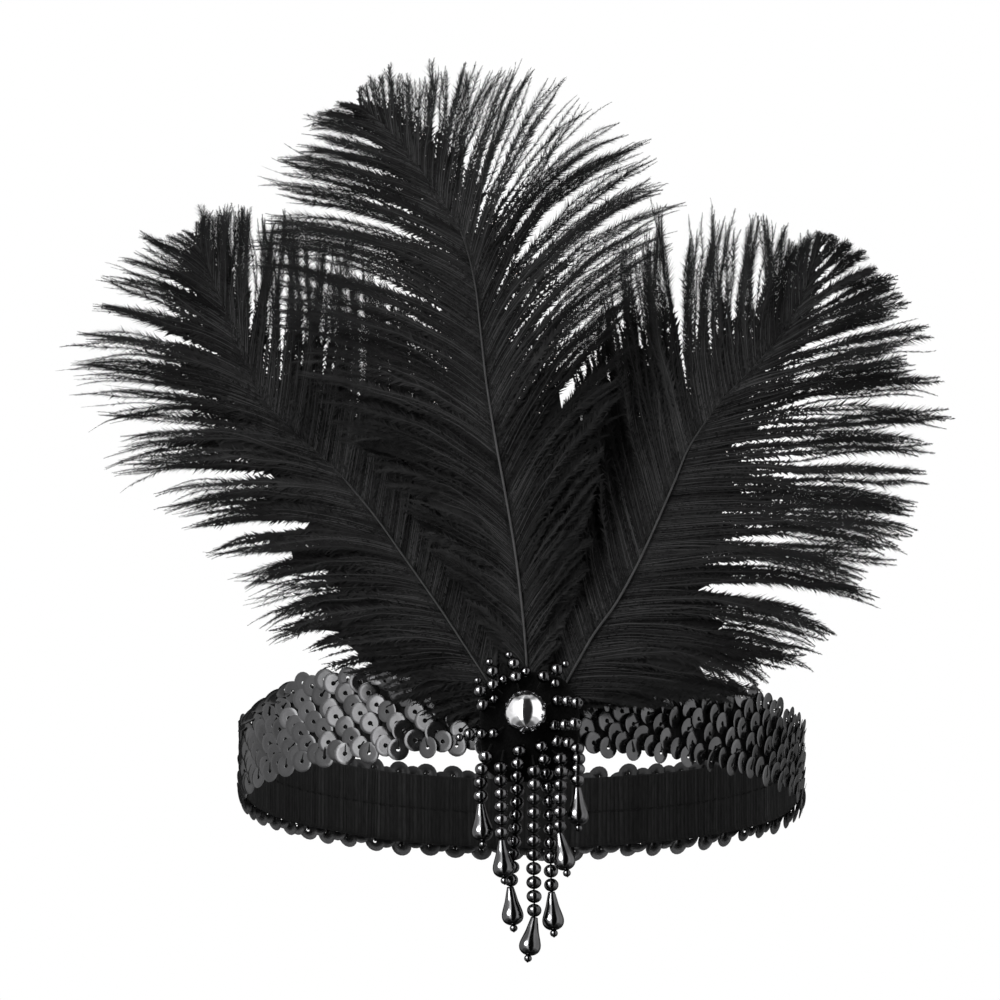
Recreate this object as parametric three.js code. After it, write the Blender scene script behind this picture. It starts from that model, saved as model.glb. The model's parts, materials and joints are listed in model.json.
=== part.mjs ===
// Feather headband: an elastic ring covered with sewn sequins, three curled plumes
// standing at its front, and a beaded brooch with hanging strands.
// Millimetres, +Z up. The origin is the centre of the ring, half way up the band,
// and the front of the headband faces -Y.

import * as THREE from 'three';
import { mergeVertices } from 'three/addons/utils/BufferGeometryUtils.js';

// ---------------------------------------------------------------- driving sizes

const ELASTIC_INNER_R = 76.5;     // inside of the band, against the head
const ELASTIC_THICKNESS = 1.5;
const ELASTIC_WIDTH = 20;
const COVER_GAP = 0.3;            // between the elastic and the back of the sequins
const COVER_THICKNESS = 1.3;      // overlapping sequins
const COVER_WIDTH = 27.6;         // the edge sequins stand past the elastic
const RING_STEPS = 64;

const QUILL_R = 0.95;
const SIDE_QUILL_Y = -82.2;       // the side quills lie on the sequins
const SIDE_LEAN_BACK = 10;        // how far the side plumes lean back at their tops
const CENTRE_QUILL_Y = -84.4;     // the centre quill lies over the side quills
const CENTRE_LEAN_FRONT = 12;     // how far the centre plume leans forward
const CENTRE_TIP_BACK = 4;        // and how far its tip comes back
const PLUME_HALF_DEPTH = 4;       // half the depth of the fluffy vane at its rachis
const PLUME_CUP = 7;              // how far a barb has curved back at CUP_AT along it
const CUP_AT = 60;

const PAD_HALF_WIDTH = 15;
const PAD_HALF_HEIGHT = 15.5;
const PAD_POWER = 3;              // squareness of the pad's outline
const PAD_BACK_Y = -85.7;
const PAD_THICKNESS = 1.4;
const PAD_Z = -8;                 // the pad hangs lower than the rays' middle
const BROOCH_X = 0.8;
const BROOCH_Z = -3.7;

const CENTRE_BEAD_R = 6;
const CENTRE_BEAD = { x: 0.8, y: -93.5, z: -4.9 };

const BEAD_R = 2.05;              // round beads of the strands
const BEAD_HALF_LENGTH = 1.85;
const RAY_BEAD_R = 1.9;
const FOOT_BEAD_R = 1.5;
const END_BEAD_R = 1.15;          // small bead at the end of a ray
const THREAD_R = 0.45;
const THREAD_SIDES = 8;

const DROP_LENGTH = 10.2;
const DROP_R = 2.9;
const DROP_TOP_R = 0.95;
const DROP_SIDES = 12;
const STOP_BEAD_R = 1.1;
const BEAD_GAP = 0.3;

// ---------------------------------------------------------------- tables

// One row for each station along a rachis. x and z place the rachis seen from the
// front; oL, o0, o1 are the outer barb's length and its direction in degrees at the
// rachis and at its end; iL, i0, i1 are the same for the barb on the other side.
// A row with no barbs is bare quill.
const PLUME_LEFT = [
  { x: -3.2, z: -3.8, oL: 0, o0: 186, o1: 208, iL: 0, i0: 75, i1: 95 },
  { x: -9.2, z: 5.5, oL: 30, o0: 176, o1: 200, iL: 30, i0: 78, i1: 95 },
  { x: -13.9, z: 12.8, oL: 42, o0: 168, o1: 200, iL: 46, i0: 76, i1: 95 },
  { x: -22.5, z: 26.2, oL: 52, o0: 165, o1: 205, iL: 58, i0: 75, i1: 95 },
  { x: -32.8, z: 41.5, oL: 56, o0: 160, o1: 197, iL: 64, i0: 80, i1: 95 },
  { x: -42.2, z: 55.2, oL: 62, o0: 160, o1: 195, iL: 70, i0: 80, i1: 95 },
  { x: -52.0, z: 67.1, oL: 65, o0: 160, o1: 195, iL: 71, i0: 80, i1: 92 },
  { x: -64.8, z: 79.7, oL: 60, o0: 155, o1: 185, iL: 63, i0: 80, i1: 92 },
  { x: -73.7, z: 89.9, oL: 55, o0: 150, o1: 178, iL: 54, i0: 85, i1: 92 },
  { x: -78.2, z: 101.2, oL: 46, o0: 145, o1: 172, iL: 43, i0: 88, i1: 92 },
  { x: -83.6, z: 115.0, oL: 34, o0: 140, o1: 165, iL: 29, i0: 90, i1: 88 },
  { x: -88.4, z: 127.0, oL: 15, o0: 130, o1: 150, iL: 15, i0: 95, i1: 90 },
  { x: -90.4, z: 133.3, oL: 4, o0: 125, o1: 140, iL: 4, i0: 98, i1: 95 },
];
const PLUME_CENTRE = [
  { x: 1.8, z: -4.3, oL: 0, o0: 120, o1: 150, iL: 0, i0: 60, i1: 45 },
  { x: 1.4, z: 4.5, oL: 12, o0: 120, o1: 150, iL: 12, i0: 60, i1: 45 },
  { x: 1.0, z: 12.8, oL: 26, o0: 120, o1: 150, iL: 26, i0: 60, i1: 45 },
  { x: -0.4, z: 28.0, oL: 36, o0: 130, o1: 165, iL: 36, i0: 62, i1: 45 },
  { x: -2.3, z: 42.7, oL: 44, o0: 135, o1: 170, iL: 47, i0: 64, i1: 45 },
  { x: -4.8, z: 57.1, oL: 54, o0: 138, o1: 175, iL: 60, i0: 65, i1: 40 },
  { x: -7.3, z: 70.5, oL: 63, o0: 140, o1: 172, iL: 72, i0: 65, i1: 38 },
  { x: -10.1, z: 88.1, oL: 70, o0: 140, o1: 175, iL: 80, i0: 66, i1: 27 },
  { x: -11.9, z: 104.7, oL: 72, o0: 142, o1: 178, iL: 74, i0: 70, i1: 32 },
  { x: -13.2, z: 115.5, oL: 67, o0: 145, o1: 178, iL: 68, i0: 75, i1: 44 },
  { x: -16.7, z: 129.3, oL: 58, o0: 148, o1: 175, iL: 55, i0: 80, i1: 60 },
  { x: -21.7, z: 138.6, oL: 49, o0: 150, o1: 172, iL: 44, i0: 85, i1: 75 },
  { x: -29.6, z: 150.0, oL: 34, o0: 152, o1: 170, iL: 30, i0: 95, i1: 85 },
  { x: -38.5, z: 161.5, oL: 17, o0: 155, o1: 170, iL: 15, i0: 105, i1: 95 },
  { x: -45.6, z: 167.0, oL: 4, o0: 158, o1: 170, iL: 4, i0: 110, i1: 105 },
];
const PLUME_RIGHT = [
  { x: 6.5, z: -3.8, oL: 0, o0: 10, o1: -25, iL: 0, i0: 105, i1: 88 },
  { x: 11.5, z: 4.6, oL: 42, o0: 8, o1: -12, iL: 30, i0: 110, i1: 92 },
  { x: 14.8, z: 10.5, oL: 56, o0: 8, o1: -18, iL: 50, i0: 110, i1: 92 },
  { x: 19.8, z: 19.3, oL: 61, o0: 10, o1: -25, iL: 60, i0: 108, i1: 92 },
  { x: 25.6, z: 27.6, oL: 66, o0: 8, o1: -20, iL: 66, i0: 107, i1: 93 },
  { x: 31.2, z: 38.0, oL: 69, o0: 6, o1: -12, iL: 73, i0: 106, i1: 94 },
  { x: 35.6, z: 47.6, oL: 74, o0: 5, o1: -8, iL: 76, i0: 105, i1: 93 },
  { x: 42.1, z: 63.1, oL: 77, o0: 8, o1: -3, iL: 76, i0: 105, i1: 90 },
  { x: 46.5, z: 73.9, oL: 75, o0: 12, o1: 0, iL: 70, i0: 104, i1: 85 },
  { x: 55.5, z: 87.3, oL: 66, o0: 20, o1: 5, iL: 57, i0: 102, i1: 80 },
  { x: 65.0, z: 97.8, oL: 52, o0: 28, o1: 15, iL: 44, i0: 98, i1: 75 },
  { x: 74.5, z: 109.9, oL: 31, o0: 38, o1: 25, iL: 27, i0: 95, i1: 70 },
  { x: 78.7, z: 119.0, oL: 20, o0: 50, o1: 38, iL: 17, i0: 90, i1: 68 },
  { x: 81.6, z: 128.2, oL: 9, o0: 65, o1: 55, iL: 8, i0: 85, i1: 70 },
  { x: 82.7, z: 132.2, oL: 3, o0: 70, o1: 60, iL: 3, i0: 85, i1: 75 },
];

// Short strings of beads around the centre bead. Each row: the first and the last
// round bead (x, y, z), how many round beads there are between and with them, the
// small end bead, if it has one, and the size of the round beads.
const RAYS = [
  { first: [-8.2, -90.4, 3.3], last: [-8.3, -90.2, 7.05], beads: 2, end: [-9.1, -90.2, 9.7], size: 1 },
  { first: [-2.0, -90.4, 5.5], last: [-2.4, -90.2, 9.25], beads: 2, end: [-3.6, -90.2, 11.5], size: 1 },
  { first: [5.8, -90.4, 5.7], last: [9.45, -90.2, 7.7], beads: 2, end: [11.8, -90.2, 9.2], size: 1 },
  { first: [-11.0, -90.4, -2.4], last: [-11.7, -90.4, 1.6], beads: 2, end: [-12.3, -90.4, 4.5], size: 1 },
  { first: [9.6, -89.6, -1.0], last: [14.9, -94.6, -2.5], beads: 3, end: null, size: 1 },
  { first: [8.9, -89.6, -8.0], last: [14.4, -94.6, -8.4], beads: 3, end: null, size: 1 },
  { first: [-8.0, -89.6, -10.2], last: [-14.7, -90.0, -10.5], beads: 3, end: [-17.2, -90.2, -11.4], size: 0.9 },
];

// Single beads sewn to the pad beside the feet of the rays.
const FOOT_BEADS = [[-5.3, -88.9, 5.1], [0.9, -88.9, 7.3], [8.9, -88.9, 4.1], [-7.9, -88.9, -0.4]];

// Hanging strands. sewn: where the thread leaves the pad; top, mid, last: the first
// bead, a bead part way down and the last bead; beads: how many round beads;
// tip: the bottom of the drop, which gives the drop's tilt.
const STRANDS = [
  { sewn: [-8.6, -87.75, -12.9], top: [-10.1, -90.4, -16.9], mid: [-11.4, -90.7, -22.4], last: [-11.5, -90.8, -28.0], beads: 4, tip: [-10.8, -90.8, -40.4] },
  { sewn: [-5.2, -87.75, -14.6], top: [-6.1, -91.8, -20.3], mid: [-5.9, -93.2, -29.7], last: [-5.8, -94.4, -38.9], beads: 6, tip: [-4.9, -94.6, -51.6] },
  { sewn: [0.4, -87.75, -13.0], top: [-0.9, -89.6, -15.2], mid: [-1.7, -89.6, -32.0], last: [-3.2, -89.6, -51.2], beads: 11, tip: [-2.2, -89.6, -63.8] },
  { sewn: [2.7, -87.75, -16.0], top: [3.2, -92.4, -21.4], mid: [3.0, -92.4, -40.6], last: [3.2, -92.4, -60.2], beads: 11, tip: [1.3, -92.4, -72.6] },
  { sewn: [4.5, -87.75, -11.8], top: [5.2, -89.6, -13.9], mid: [7.1, -89.5, -26.0], last: [7.9, -89.6, -52.6], beads: 11, tip: [8.6, -89.6, -65.2] },
  { sewn: [8.2, -87.75, -14.6], top: [10.4, -91.7, -17.8], mid: [10.2, -92.9, -27.2], last: [10.1, -93.4, -36.7], beads: 6, tip: [12.4, -93.4, -49.2] },
  { sewn: [8.4, -87.75, -11.6], top: [9.7, -90.6, -12.7], mid: [14.6, -90.8, -14.1], last: [15.0, -90.8, -23.4], beads: 6, tip: [15.3, -90.8, -36.0] },
];

// ---------------------------------------------------------------- materials

const finish = (color, roughness, metalness) =>
  new THREE.MeshStandardMaterial({ color, roughness, metalness });
const ELASTIC = finish(0x141414, 0.95, 0);
const SEQUIN = finish(0x2a2a2c, 0.3, 0.2);
const FEATHER = finish(0x161617, 0.9, 0);
const FELT = finish(0x0d0d0d, 1, 0);
const GUNMETAL = finish(0x55565a, 0.2, 0.9);

// ---------------------------------------------------------------- helpers

const group = new THREE.Group();

function piece(name, geometry, material) {
  const mesh = new THREE.Mesh(geometry, material);
  mesh.name = name;
  group.add(mesh);
  return mesh;
}

const clamp01 = (t) => Math.max(0, Math.min(1, t));
const ease = (t) => clamp01(t) ** 2 * (3 - 2 * clamp01(t));
const rad = THREE.MathUtils.degToRad;

// A closed solid from rings with equal numbers of points, capped at both ends.
function loft(rings) {
  const n = rings[0].length;
  const position = [];
  for (const ring of rings) for (const p of ring) position.push(p.x, p.y, p.z);
  const index = [];
  for (let i = 0; i + 1 < rings.length; i++) {
    for (let j = 0; j < n; j++) {
      const a = i * n + j, b = i * n + ((j + 1) % n);
      index.push(a, b, b + n, a, b + n, a + n);
    }
  }
  const last = (rings.length - 1) * n;
  for (let j = 1; j + 1 < n; j++) {
    index.push(0, j + 1, j);
    index.push(last, last + j, last + j + 1);
  }
  const at = (i) => new THREE.Vector3(position[3 * i], position[3 * i + 1], position[3 * i + 2]);
  let volume = 0;
  for (let k = 0; k < index.length; k += 3) {
    volume += at(index[k]).dot(at(index[k + 1]).cross(at(index[k + 2]))) / 6;
  }
  if (volume < 0) {
    for (let k = 0; k < index.length; k += 3) [index[k], index[k + 1]] = [index[k + 1], index[k]];
  }
  const geometry = new THREE.BufferGeometry();
  geometry.setAttribute('position', new THREE.Float32BufferAttribute(position, 3));
  geometry.setIndex(index);
  geometry.computeVertexNormals();
  return geometry;
}

// A ring round the Z axis with a rectangular section.
function bandRing(innerR, thickness, width) {
  const outerR = innerR + thickness, half = width / 2;
  const section = [[innerR, -half], [outerR, -half], [outerR, half], [innerR, half], [innerR, -half]];
  const lathe = new THREE.LatheGeometry(section.map(([r, z]) => new THREE.Vector2(r, z)), RING_STEPS);
  lathe.rotateX(Math.PI / 2);
  lathe.deleteAttribute('normal');
  lathe.deleteAttribute('uv');
  const closed = mergeVertices(lathe, 1e-4);
  closed.computeVertexNormals();
  return closed;
}

// A point part way (t from 0 to 1) along a curved barb in the XZ plane: its
// direction turns evenly from a0 to a1 degrees.
function alongBarb(x, z, length, a0, a1, t) {
  const steps = 8, d = (length * t) / steps;
  for (let k = 0; k < steps; k++) {
    const a = rad(a0 + (a1 - a0) * t * ((k + 0.5) / steps));
    x += d * Math.cos(a);
    z += d * Math.sin(a);
  }
  return { x, z };
}

// A plume's outer form: one section for each station, running out along the barb
// on one side, round its end and back along the barb on the other side.
function plume(table, sheetY) {
  const spine = new THREE.CatmullRomCurve3(
    table.map((r) => new THREE.Vector3(r.x, 0, r.z)), false, 'centripetal');
  const share = [1 / 3, 2 / 3];
  const perRow = 2, rings = [];
  for (let k = 0; k <= (table.length - 1) * perRow; k++) {
    const u = k / ((table.length - 1) * perRow);
    const i = Math.min(table.length - 2, Math.floor(k / perRow)), f = k / perRow - i;
    const mix = (key) => table[i][key] * (1 - f) + table[i + 1][key] * f;
    const p = spine.getPoint(u), t = spine.getTangent(u);
    const side = new THREE.Vector3(-t.z, 0, t.x);           // square to the rachis
    const longest = Math.max(mix('oL'), mix('iL'));
    const half = Math.min(
      QUILL_R + (PLUME_HALF_DEPTH - QUILL_R) * ease((p.z - 10) / 60),
      QUILL_R + 0.09 * longest);
    const outward = side.x * Math.cos(rad(table[2].o0)) + side.z * Math.sin(rad(table[2].o0)) > 0 ? 1 : -1;
    const barb = (len, a0, a1, sign, q) => {
      if (len >= 2 * QUILL_R) return alongBarb(p.x, p.z, len, a0, a1, q);
      return { x: p.x + side.x * sign * QUILL_R * q, z: p.z + side.z * sign * QUILL_R * q };
    };
    const outer = (q) => barb(mix('oL'), mix('o0'), mix('o1'), outward, q);
    const inner = (q) => barb(mix('iL'), mix('i0'), mix('i1'), -outward, q);
    const put = (at, length, q, face) => new THREE.Vector3(
      at.x,
      sheetY(at.z) + PLUME_CUP * (length * q / CUP_AT) ** 2 + face * half * Math.sqrt(1 - q * q),
      at.z);
    const onOuter = (q, face) => put(outer(q), mix('oL'), q, face);
    const onInner = (q, face) => put(inner(q), mix('iL'), q, face);
    rings.push([
      onOuter(1, 0), onOuter(share[1], -1), onOuter(share[0], -1), onOuter(0, -1),
      onInner(share[0], -1), onInner(share[1], -1), onInner(1, 0),
      onInner(share[1], 1), onInner(share[0], 1), onInner(0, 1),
      onOuter(share[0], 1), onOuter(share[1], 1),
    ]);
  }
  return loft(rings);
}

const sideSheet = (z) => SIDE_QUILL_Y + SIDE_LEAN_BACK * ease((z - 6) / 110);
const centreSheet = (z) =>
  CENTRE_QUILL_Y - CENTRE_LEAN_FRONT * ease((z - 4) / 95) + CENTRE_TIP_BACK * ease((z - 110) / 70);

// Beads joined along their thread: beads is a list of { s, r, h }, the distance
// along the curve of each bead's centre, its radius and its half length.
function beadString(curve, beads) {
  const total = curve.getLength();
  const stations = [{ s: 0, r: THREAD_R }];
  for (const b of beads) {
    stations.push({ s: b.s - 0.92 * b.h, r: 0.4 * b.r });
    stations.push({ s: b.s - 0.42 * b.h, r: 0.94 * b.r });
    stations.push({ s: b.s + 0.42 * b.h, r: 0.94 * b.r });
  }
  const end = beads[beads.length - 1];
  stations.push({ s: end.s + 0.92 * end.h, r: 0.4 * end.r });
  const reference = new THREE.Vector3(0.31, 0.95, 0.05);
  return loft(stations.map(({ s, r }) => {
    const u = s / total;
    const on = u <= 1
      ? curve.getPointAt(Math.max(0, u))
      : curve.getPointAt(1).addScaledVector(curve.getTangentAt(1), s - total);
    const t = curve.getTangentAt(clamp01(u));
    const a = reference.clone().addScaledVector(t, -reference.dot(t)).normalize();
    const b = new THREE.Vector3().crossVectors(t, a);
    return Array.from({ length: THREAD_SIDES }, (_, k) => {
      const w = (2 * Math.PI * k) / THREAD_SIDES;
      return on.clone().addScaledVector(a, r * Math.cos(w)).addScaledVector(b, r * Math.sin(w));
    });
  }));
}

const vec = (p) => new THREE.Vector3(p[0], p[1], p[2]);

// Where a point lies along a curve, by nearest sample.
function distanceAlong(curve, point) {
  const samples = 400, total = curve.getLength();
  let best = 0, nearest = Infinity;
  for (let k = 0; k <= samples; k++) {
    const d = curve.getPointAt(k / samples).distanceTo(point);
    if (d < nearest) { nearest = d; best = (k / samples) * total; }
  }
  return best;
}

const evenly = (from, to, count) =>
  Array.from({ length: count }, (_, k) => from + ((to - from) * k) / Math.max(1, count - 1));

// ---------------------------------------------------------------- the band

piece('elastic_band', bandRing(ELASTIC_INNER_R, ELASTIC_THICKNESS, ELASTIC_WIDTH), ELASTIC);
piece('sequin_cover',
  bandRing(ELASTIC_INNER_R + ELASTIC_THICKNESS + COVER_GAP, COVER_THICKNESS, COVER_WIDTH), SEQUIN);

// ---------------------------------------------------------------- the plumes

piece('plume_left', plume(PLUME_LEFT, sideSheet), FEATHER);
piece('plume_centre', plume(PLUME_CENTRE, centreSheet), FEATHER);
piece('plume_right', plume(PLUME_RIGHT, sideSheet), FEATHER);

// ---------------------------------------------------------------- the brooch

// The pad's outline at depth y, a rounded square.
const padRing = (y) => Array.from({ length: 32 }, (_, k) => {
  const a = (2 * Math.PI * k) / 32, c = Math.cos(a), s = Math.sin(a);
  const size = (Math.abs(c) ** PAD_POWER + Math.abs(s) ** PAD_POWER) ** (-1 / PAD_POWER);
  return new THREE.Vector3(BROOCH_X + PAD_HALF_WIDTH * size * c, y, PAD_Z + PAD_HALF_HEIGHT * size * s);
});
piece('brooch_pad', loft([padRing(PAD_BACK_Y), padRing(PAD_BACK_Y - PAD_THICKNESS)]), FELT);

const centreBead = piece('centre_bead', new THREE.SphereGeometry(CENTRE_BEAD_R, 20, 12), GUNMETAL);
centreBead.position.set(CENTRE_BEAD.x, CENTRE_BEAD.y, CENTRE_BEAD.z);

RAYS.forEach((ray, k) => {
  const first = vec(ray.first), last = vec(ray.last);
  const inward = new THREE.Vector3(BROOCH_X, first.y, BROOCH_Z).sub(first).setLength(2.4);
  const root = first.clone().add(inward).setY(first.y + 1.2);
  const points = [root, first, last];
  if (ray.end) points.push(vec(ray.end));
  const curve = new THREE.CatmullRomCurve3(points, false, 'centripetal');
  const s0 = distanceAlong(curve, first), s1 = distanceAlong(curve, last);
  const beads = evenly(s0, s1, ray.beads).map((s) => ({ s, r: RAY_BEAD_R * ray.size, h: BEAD_HALF_LENGTH * ray.size }));
  if (ray.end) {
    beads.push({ s: Math.max(distanceAlong(curve, vec(ray.end)), s1 + 2.85), r: END_BEAD_R, h: END_BEAD_R });
  }
  piece(`ray_${k + 1}`, beadString(curve, beads), GUNMETAL);
});

FOOT_BEADS.forEach((at, k) => {
  piece(`foot_bead_${k + 1}`, new THREE.SphereGeometry(FOOT_BEAD_R, 8, 6), GUNMETAL).position.set(...at);
});

// ---------------------------------------------------------------- the strands

function turned(profile, sides) {
  const g = new THREE.LatheGeometry(profile.map(([r, h]) => new THREE.Vector2(r, h)), sides);
  g.deleteAttribute('normal');
  g.deleteAttribute('uv');
  const closed = mergeVertices(g, 1e-4);
  closed.computeVertexNormals();
  return closed;
}

// The drop hangs from its top at 0: a straight cone that swells to a round bottom.
const DROP_PROFILE = [
  { down: 1.0, r: 0 }, { down: 0.995, r: 0.3 }, { down: 0.95, r: 0.62 }, { down: 0.86, r: 0.92 },
  { down: 0.74, r: 1.0 }, { down: 0.6, r: 0.9 }, { down: 0.36, r: 0.62 }, { down: 0.0, r: DROP_TOP_R / DROP_R },
];
const dropGeometry = () => turned(
  [...DROP_PROFILE.map((p) => [p.r * DROP_R, -p.down * DROP_LENGTH]), [0, 0]], DROP_SIDES);
const stopGeometry = () => turned(
  evenly(-90, 90, 7).map((a) => [a % 90 ? STOP_BEAD_R * Math.cos(rad(a)) : (a ? 0 : STOP_BEAD_R), STOP_BEAD_R * Math.sin(rad(a))]), 10);

STRANDS.forEach((strand, k) => {
  const route = [strand.sewn, strand.top, strand.mid, strand.last].map(vec);
  const curve = new THREE.CatmullRomCurve3(route, false, 'centripetal');
  const s0 = distanceAlong(curve, route[1]), s1 = curve.getLength();
  const beads = evenly(s0, s1, strand.beads).map((s) => ({ s, r: BEAD_R, h: BEAD_HALF_LENGTH }));
  piece(`strand_${k + 1}`, beadString(curve, beads), GUNMETAL);

  const last = route[3], hang = vec(strand.tip).sub(last).normalize();
  const turn = new THREE.Quaternion().setFromUnitVectors(new THREE.Vector3(0, -1, 0), hang);
  const dropTop = last.clone().addScaledVector(curve.getTangentAt(1), BEAD_HALF_LENGTH * 0.92 + BEAD_GAP);
  const drop = piece(`drop_${k + 1}`, dropGeometry(), GUNMETAL);
  drop.position.copy(dropTop);
  drop.quaternion.copy(turn);
  const stop = piece(`stop_bead_${k + 1}`, stopGeometry(), GUNMETAL);
  stop.position.copy(dropTop).addScaledVector(hang, DROP_LENGTH + BEAD_GAP + STOP_BEAD_R);
  stop.quaternion.copy(turn);
});

export default group;
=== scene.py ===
"""Looks of the feather headband: ribbed elastic, sewn sequins, three plumes made of
single barbs with their barbules, and a beaded brooch with hanging strands.
Shapes are worked out in millimetres and stored in metres. +Z is up, the front faces -Y."""
import json
import math

import bpy
import numpy as np
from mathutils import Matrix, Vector

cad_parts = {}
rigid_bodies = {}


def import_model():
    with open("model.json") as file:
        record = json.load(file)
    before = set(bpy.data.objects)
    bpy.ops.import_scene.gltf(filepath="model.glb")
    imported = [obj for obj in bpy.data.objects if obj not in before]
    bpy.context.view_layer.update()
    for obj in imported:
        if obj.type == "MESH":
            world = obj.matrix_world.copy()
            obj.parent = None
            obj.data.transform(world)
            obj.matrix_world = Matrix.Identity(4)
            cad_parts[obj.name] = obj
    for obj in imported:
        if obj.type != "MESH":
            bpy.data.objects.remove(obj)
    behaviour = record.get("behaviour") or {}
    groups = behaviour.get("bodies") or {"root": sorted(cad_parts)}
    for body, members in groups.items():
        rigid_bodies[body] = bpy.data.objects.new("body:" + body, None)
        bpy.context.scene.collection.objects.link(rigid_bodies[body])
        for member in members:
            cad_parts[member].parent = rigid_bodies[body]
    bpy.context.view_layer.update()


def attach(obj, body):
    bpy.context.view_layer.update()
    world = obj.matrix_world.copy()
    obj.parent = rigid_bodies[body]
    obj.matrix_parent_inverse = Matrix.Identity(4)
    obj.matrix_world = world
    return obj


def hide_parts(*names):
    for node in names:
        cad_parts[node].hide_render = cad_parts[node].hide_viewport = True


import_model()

MM = 0.001
SCENE = bpy.context.scene


# ---------------------------------------------------------------- small helpers

def ease(t):
    t = np.clip(t, 0.0, 1.0)
    return t * t * (3.0 - 2.0 * t)


def unit(v):
    return v / np.maximum(np.linalg.norm(v, axis=-1, keepdims=True), 1e-12)


def catmull(points, u):
    """Centripetal Catmull-Rom curve through points (n, d) at shares u of its spans."""
    points = np.asarray(points, float)
    ends = np.vstack([2 * points[0] - points[1], points, 2 * points[-1] - points[-2]])
    spans = len(points) - 1
    w = np.clip(np.asarray(u, float), 0, 1) * spans
    i = np.minimum(w.astype(int), spans - 1)
    w = (w - i)[:, None]
    p0, p1, p2, p3 = ends[i], ends[i + 1], ends[i + 2], ends[i + 3]
    d0 = np.sqrt(np.linalg.norm(p1 - p0, axis=1))[:, None]
    d1 = np.sqrt(np.linalg.norm(p2 - p1, axis=1))[:, None]
    d2 = np.sqrt(np.linalg.norm(p3 - p2, axis=1))[:, None]
    t1 = ((p1 - p0) / d0 - (p2 - p0) / (d0 + d1) + (p2 - p1) / d1) * d1
    t2 = ((p2 - p1) / d1 - (p3 - p1) / (d1 + d2) + (p3 - p2) / d2) * d1
    return p1 + t1 * w + (3 * p2 - 3 * p1 - 2 * t1 - t2) * w ** 2 + (2 * p1 - 2 * p2 + t1 + t2) * w ** 3


class Path:
    """A curve through a few points, by distance along it."""

    def __init__(self, points, samples=800):
        self.p = catmull(points, np.linspace(0, 1, samples))
        step = np.linalg.norm(np.diff(self.p, axis=0), axis=1)
        self.s = np.concatenate([[0], np.cumsum(step)])
        self.length = self.s[-1]
        self.t = unit(np.gradient(self.p, axis=0))

    def at(self, s):
        s = np.asarray(s, float)
        on = np.stack([np.interp(s, self.s, self.p[:, k]) for k in range(3)], -1)
        past = np.maximum(s - self.length, 0)[..., None]
        return on + past * self.t[-1]

    def tangent(self, s):
        return unit(np.stack([np.interp(s, self.s, self.t[:, k]) for k in range(3)], -1))

    def distance(self, point):
        return self.s[np.argmin(np.linalg.norm(self.p - np.asarray(point, float), axis=1))]


def frames(t, reference=(0.31, 0.95, 0.05)):
    """Two directions square to t and to each other."""
    r = np.broadcast_to(np.asarray(reference, float), t.shape)
    a = unit(r - t * np.sum(r * t, -1, keepdims=True))
    return a, np.cross(t, a)


def grid(rows, cols, wrap_rows, wrap_cols):
    """Quads over rows x cols points in row order, with a place in 0..1 for each corner."""
    nr, nc = rows - (not wrap_rows), cols - (not wrap_cols)
    i, j = (m.ravel() for m in np.meshgrid(np.arange(nr), np.arange(nc), indexing="ij"))
    i1, j1 = (i + 1) % rows, (j + 1) % cols
    quads = np.stack([i * cols + j, i * cols + j1, i1 * cols + j1, i1 * cols + j], -1)
    u, v = np.stack([j, j + 1, j + 1, j], -1) / nc, np.stack([i, i, i + 1, i + 1], -1) / nr
    return quads, np.stack([u, v], -1)


class Build:
    """Collects vertices (mm), faces, places in the map and a shade for each vertex."""

    def __init__(self):
        self.v, self.f, self.uv, self.shade, self.n = [], [], [], [], 0

    def add(self, verts, faces, uvs, shade=0.5):
        verts = np.asarray(verts, float).reshape(-1, 3)
        for f, c in zip(faces, uvs):
            self.f.append(np.asarray(f) + self.n)
            self.uv.append(c)
        self.v.append(verts)
        self.shade.append(np.broadcast_to(np.asarray(shade, float), (len(verts),)))
        self.n += len(verts)

    def triangles(self):
        return sum(len(f) * (f.shape[1] - 2) for f in self.f)

    def piece(self, name, material, slot, replaces=(), smooth=True):
        me = bpy.data.meshes.new(name)
        v = np.concatenate(self.v)
        me.vertices.add(len(v))
        me.vertices.foreach_set("co", (v * MM).astype(np.float32).ravel())
        corners = np.concatenate([f.ravel() for f in self.f]).astype(np.int32)
        sizes = np.concatenate([np.full(len(f), f.shape[1]) for f in self.f])
        me.loops.add(len(corners))
        me.loops.foreach_set("vertex_index", corners)
        me.polygons.add(len(sizes))
        me.polygons.foreach_set("loop_start", np.concatenate([[0], np.cumsum(sizes)[:-1]]).astype(np.int32))
        me.polygons.foreach_set("use_smooth", np.full(len(sizes), smooth))
        me.update(calc_edges=True)
        layer = me.uv_layers.new(name="OFBake")
        uv = np.concatenate([np.asarray(c, float).reshape(-1, 2) for c in self.uv])
        layer.data.foreach_set("uv", uv.astype(np.float32).ravel())
        shade = me.attributes.new("shade", "FLOAT", "POINT")
        shade.data.foreach_set("value", np.concatenate(self.shade).astype(np.float32))
        me.materials.append(material)
        obj = bpy.data.objects.new(name, me)
        SCENE.collection.objects.link(obj)
        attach(obj, "root")
        if replaces:
            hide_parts(*replaces)
        TALLY[name] = self.triangles()
        return obj


TALLY = {}


def cell(uv, k, count, margin=0.04):
    """A 0..1 map put in cell k of a square table of count cells."""
    side = math.ceil(math.sqrt(count))
    at = np.array([k % side, k // side], float)
    return (at + margin + np.asarray(uv) * (1 - 2 * margin)) / side


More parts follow.
